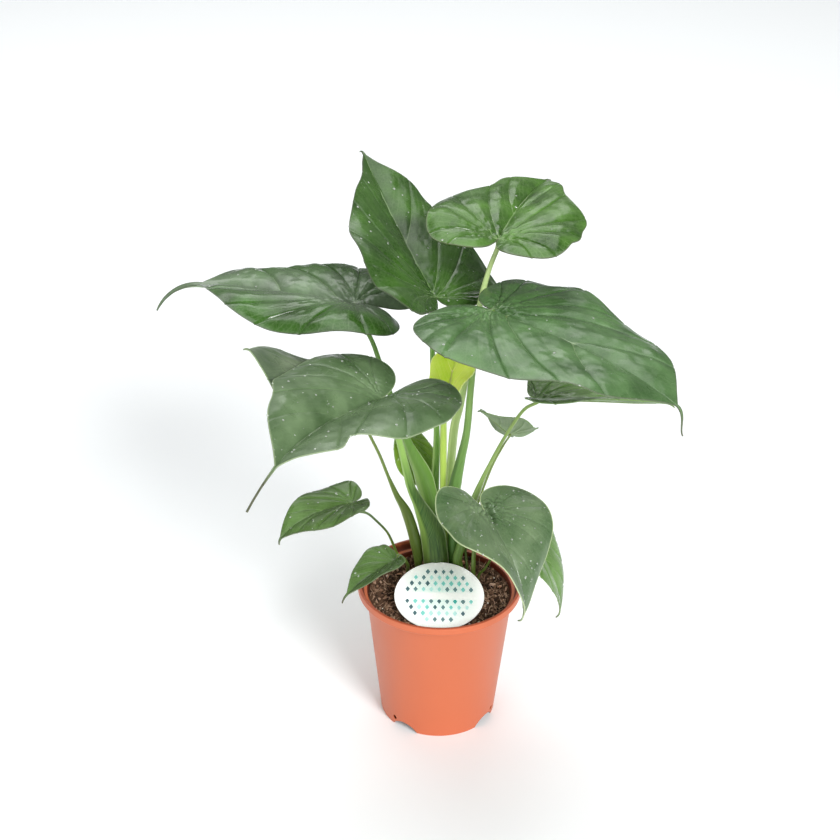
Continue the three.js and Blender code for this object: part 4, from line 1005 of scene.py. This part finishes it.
def leafMaterial(name, values):
    tone = dict(zip(leafTones, values))
    material, tree, shader = newMaterial(name, Roughness=tone["wax"], IOR=1.5)
    flat = addNode(tree, "UVMap", uv_map="flatLeaf").outputs[0]
    vein, smallVein, border, along = readMarks(tree, "vein", "smallVein", "border", "along")
    clouds = addNode(tree, "TexNoise", {"Vector": flat, "Scale": 3.6, "Detail": 3, "Roughness": 0.5})
    out = addNode(tree, "SeparateXYZ", {0: flat}).outputs["Y"]
    aside = addNode(tree, "Math", {0: out}, operation="ABSOLUTE").outputs[0]
    # cells between the finest veins, about 2.5 mm wide, show as a faint net
    net = addNode(tree, "TexVoronoi", {"Vector": flat, "Scale": 40}, feature="DISTANCE_TO_EDGE")
    mesh = addNode(tree, "MapRange", {
        0: net.outputs["Distance"], 1: 0, 2: 0.12, 3: 0.1, 4: 0}).outputs[0]
    colour = paint(
        tree, tone["deep"], (clouds.outputs["Fac"], 0.32, 0.68, 0, 1, tone["mid"]),
        # painted sheen: a grey band along the midrib stands in for a reflection
        (aside, 0.08, 0.4, tone["paintedSheen"], 0, "#8e998a"), (mesh, tone["vein"]),
        (smallVein, 0.1, 0.6, 0.09, 0, tone["vein"]), (vein, 0.3, 1, tone["show"], 0, tone["vein"]),
        (border, 0.2, 0.9, 0.9, 0, tone["rim"]), (along, 1.04, 1.16, 0, tone["dry"], "#555440"))
    smudge = addNode(tree, "TexNoise", {"Vector": flat, "Scale": 4.5, "Detail": 3, "Roughness": 0.55})
    rough = addNode(tree, "MapRange", {
        0: smudge.outputs["Fac"], 1: 0.35, 2: 0.7, 3: tone["wax"] - 0.06, 4: tone["wax"] + 0.2})
    grain = addNode(tree, "TexNoise", {"Vector": flat, "Scale": 60, "Detail": 3})
    height = addNode(tree, "Math", {0: grain.outputs["Fac"], 1: mesh}, operation="SUBTRACT").outputs[0]
    finish(tree, shader, colour, height, 0.13, 0.4, rough)
    return material


skins = {name: leafMaterial("waxed_leaf_" + name, values) for name, values in leafColours.items()}
skins["underside"].name = "leaf_underside"
soft = skins["young"].node_tree.nodes["Principled BSDF"]
soft.inputs["Subsurface Weight"].default_value = 0.6
soft.inputs["Subsurface Radius"].default_value = youngSpread
soft.inputs["Subsurface Scale"].default_value = 1

# Stalk: a firm juicy stem; its colours are those of the left edge, face, right edge, foot and top
stalkColours = {
    "deepStem": ("#a9c874", "#5c8c2d", "#669a36", "#3f6922", "#63953a"),
    "paleStem": ("#d3e6a0", "#a9c478", "#b4cd88", "#6f9440", "#b4cb88"),
    "broadStem": ("#476a28", "#628a40", "#739b50", "#345a1c", "#8db262"),
    "sheathStem": ("#7d9f4a", "#5a8036", "#658d3f", "#2a4b16", "#5e873b"),
    "frontStem": ("#8db256", "#345d1b", "#2f5217", "#0f2004", "#96be5e"),
    "thinStem": ("#7e934b", "#647a38", "#6b8238", "#557026", "#7c904e"),
    "darkStem": ("#5d7444", "#4f6639", "#5d7541", "#9bb84c", "#5d7444"),
    "lightStem": ("#809e4f", "#6f8e45", "#7c9a4e", "#42681d", "#8fa861"),
    "youngStem": ("#bcd668", "#aacb50", "#b8d462", "#86ac3b", "#b2d058"),
}


def stalkMaterial(name, colours):
    left, face, right, low, top = colours
    material, tree, shader = newMaterial("leaf_stalk_" + name, Roughness=0.36, IOR=1.45)
    across, wing, rise, turned, share = readMarks(tree, "across", "wing", "rise", "round", "share")
    # the stem's fibres draw lines along it, about 0.7 mm apart
    slow = addNode(tree, "Math", {0: rise, 1: 0.05}, operation="MULTIPLY")
    where = addNode(tree, "CombineXYZ", {0: turned, 1: slow.outputs[0]})
    lines = addNode(tree, "TexNoise", {
        "Vector": where.outputs[0], "Scale": 1.4, "Detail": 3}).outputs["Fac"]
    # a sheath thins to a pale skin at its edges
    aside = addNode(tree, "Math", {0: across}, operation="ABSOLUTE").outputs[0]
    thin = addNode(tree, "MapRange", {0: aside, 1: 0.9, 2: 0.98, 3: 0, 4: 0.6}).outputs[0]
    skinEdge = addNode(tree, "Math", {0: thin, 1: wing}, operation="MULTIPLY").outputs[0]
    colour = paint(
        tree, face, (across, -0.3, -0.55, 0, 1, left), (across, 0.2, 0.7, 0, 1, right),
        (share, 0.42, 0.62, 0, 0.9, top), (rise, 12, 75, 0.85, 0, low),
        (lines, 0.35, 0.7, 0, 0.35, left), (skinEdge, "#d3e6ae"))
    finish(tree, shader, colour, lines, 0.25, 0.3)
    return material


stems = {name: stalkMaterial(name, colours) for name, colours in stalkColours.items()}

for leaf in leaves:
    young = leaf["skin"] == "young"
    lamina = makeBlade(leaf)
    ridge = makeRidge(leaf)
    ridge.data.materials.append(stems["youngStem" if young else "thinStem"])
    alone(lamina)
    ridge.select_set(True)
    bpy.ops.object.join()
    ready(lamina, "young_blade" if young else "blade", leaf["name"] + "_blade")
    stem = makeStalk(leaf)
    stem.data.materials.append(stems[leaf["stalk"]])
    ready(stem, "young_petiole" if young else "petiole", leaf["name"] + "_petiole")
    print(leaf["name"], "is grown")

# Water drops left by spraying: small, partly clear domes on the upper faces, painted whitish as a highlight
drops = {
    "size": (0.3, 1.05), "tall": 0.55, "under": 0.1, "often": 2.6,
    "count": {
        "leaf_01": 70, "leaf_02": 12, "leaf_03": 30, "leaf_04": 20, "leaf_05": 85, "leaf_07": 30,
        "leaf_08": 10, "leaf_09": 95, "leaf_13": 8,
    },
}
# the whitish base colour is a painted highlight on each drop
water, tree, shader = newMaterial(
    "water_drop_painted_glint", Base_Color=linear("#e9f0e6"), Roughness=0.03, IOR=1.33, Transmission_Weight=0.6)
film = addNode(tree, "TexNoise", {"Vector": addNode(tree, "TexCoord").outputs["Object"], "Scale": 900})
rough = addNode(tree, "MapRange", {0: film.outputs["Fac"], 3: 0.01, 4: 0.06})
tree.links.new(rough.outputs[0], shader.inputs["Roughness"])


def makeDrops(name, count):
    shape, faces = smallBall(2)
    shape[:, 2] *= np.where(shape[:, 2] > 0, drops["tall"], drops["under"])
    points, normals, areas = [
        np.concatenate([part.reshape(-1, part.shape[-1]) for part in parts]) for parts in zip(*tops[name])]
    spots = chance.choice(len(points), count, replace=False, p=areas[:, 0] / areas.sum())
    low, high = drops["size"]
    size = low + (high - low) * chance.uniform(0, 1, (count, 1, 1)) ** drops["often"]
    up = normals[spots] / np.linalg.norm(normals[spots], axis=1)[:, None]
    side = np.cross(up, (0, 0.2, 1.0))
    side /= np.linalg.norm(side, axis=1)[:, None]
    turned = np.stack([side, np.cross(up, side), up], 1)
    beads = (points[spots] + up * blade["thickness"] / 2)[:, None] + size * (shape @ turned)
    return heap(name + "_drops", beads, faces)


for name, count in drops["count"].items():
    beads = makeDrops(name, count)
    alone(beads)
    bpy.ops.object.shade_smooth()
    beads.data.materials.append(water)
    ready(beads, "blade")
print("drops are sprayed")
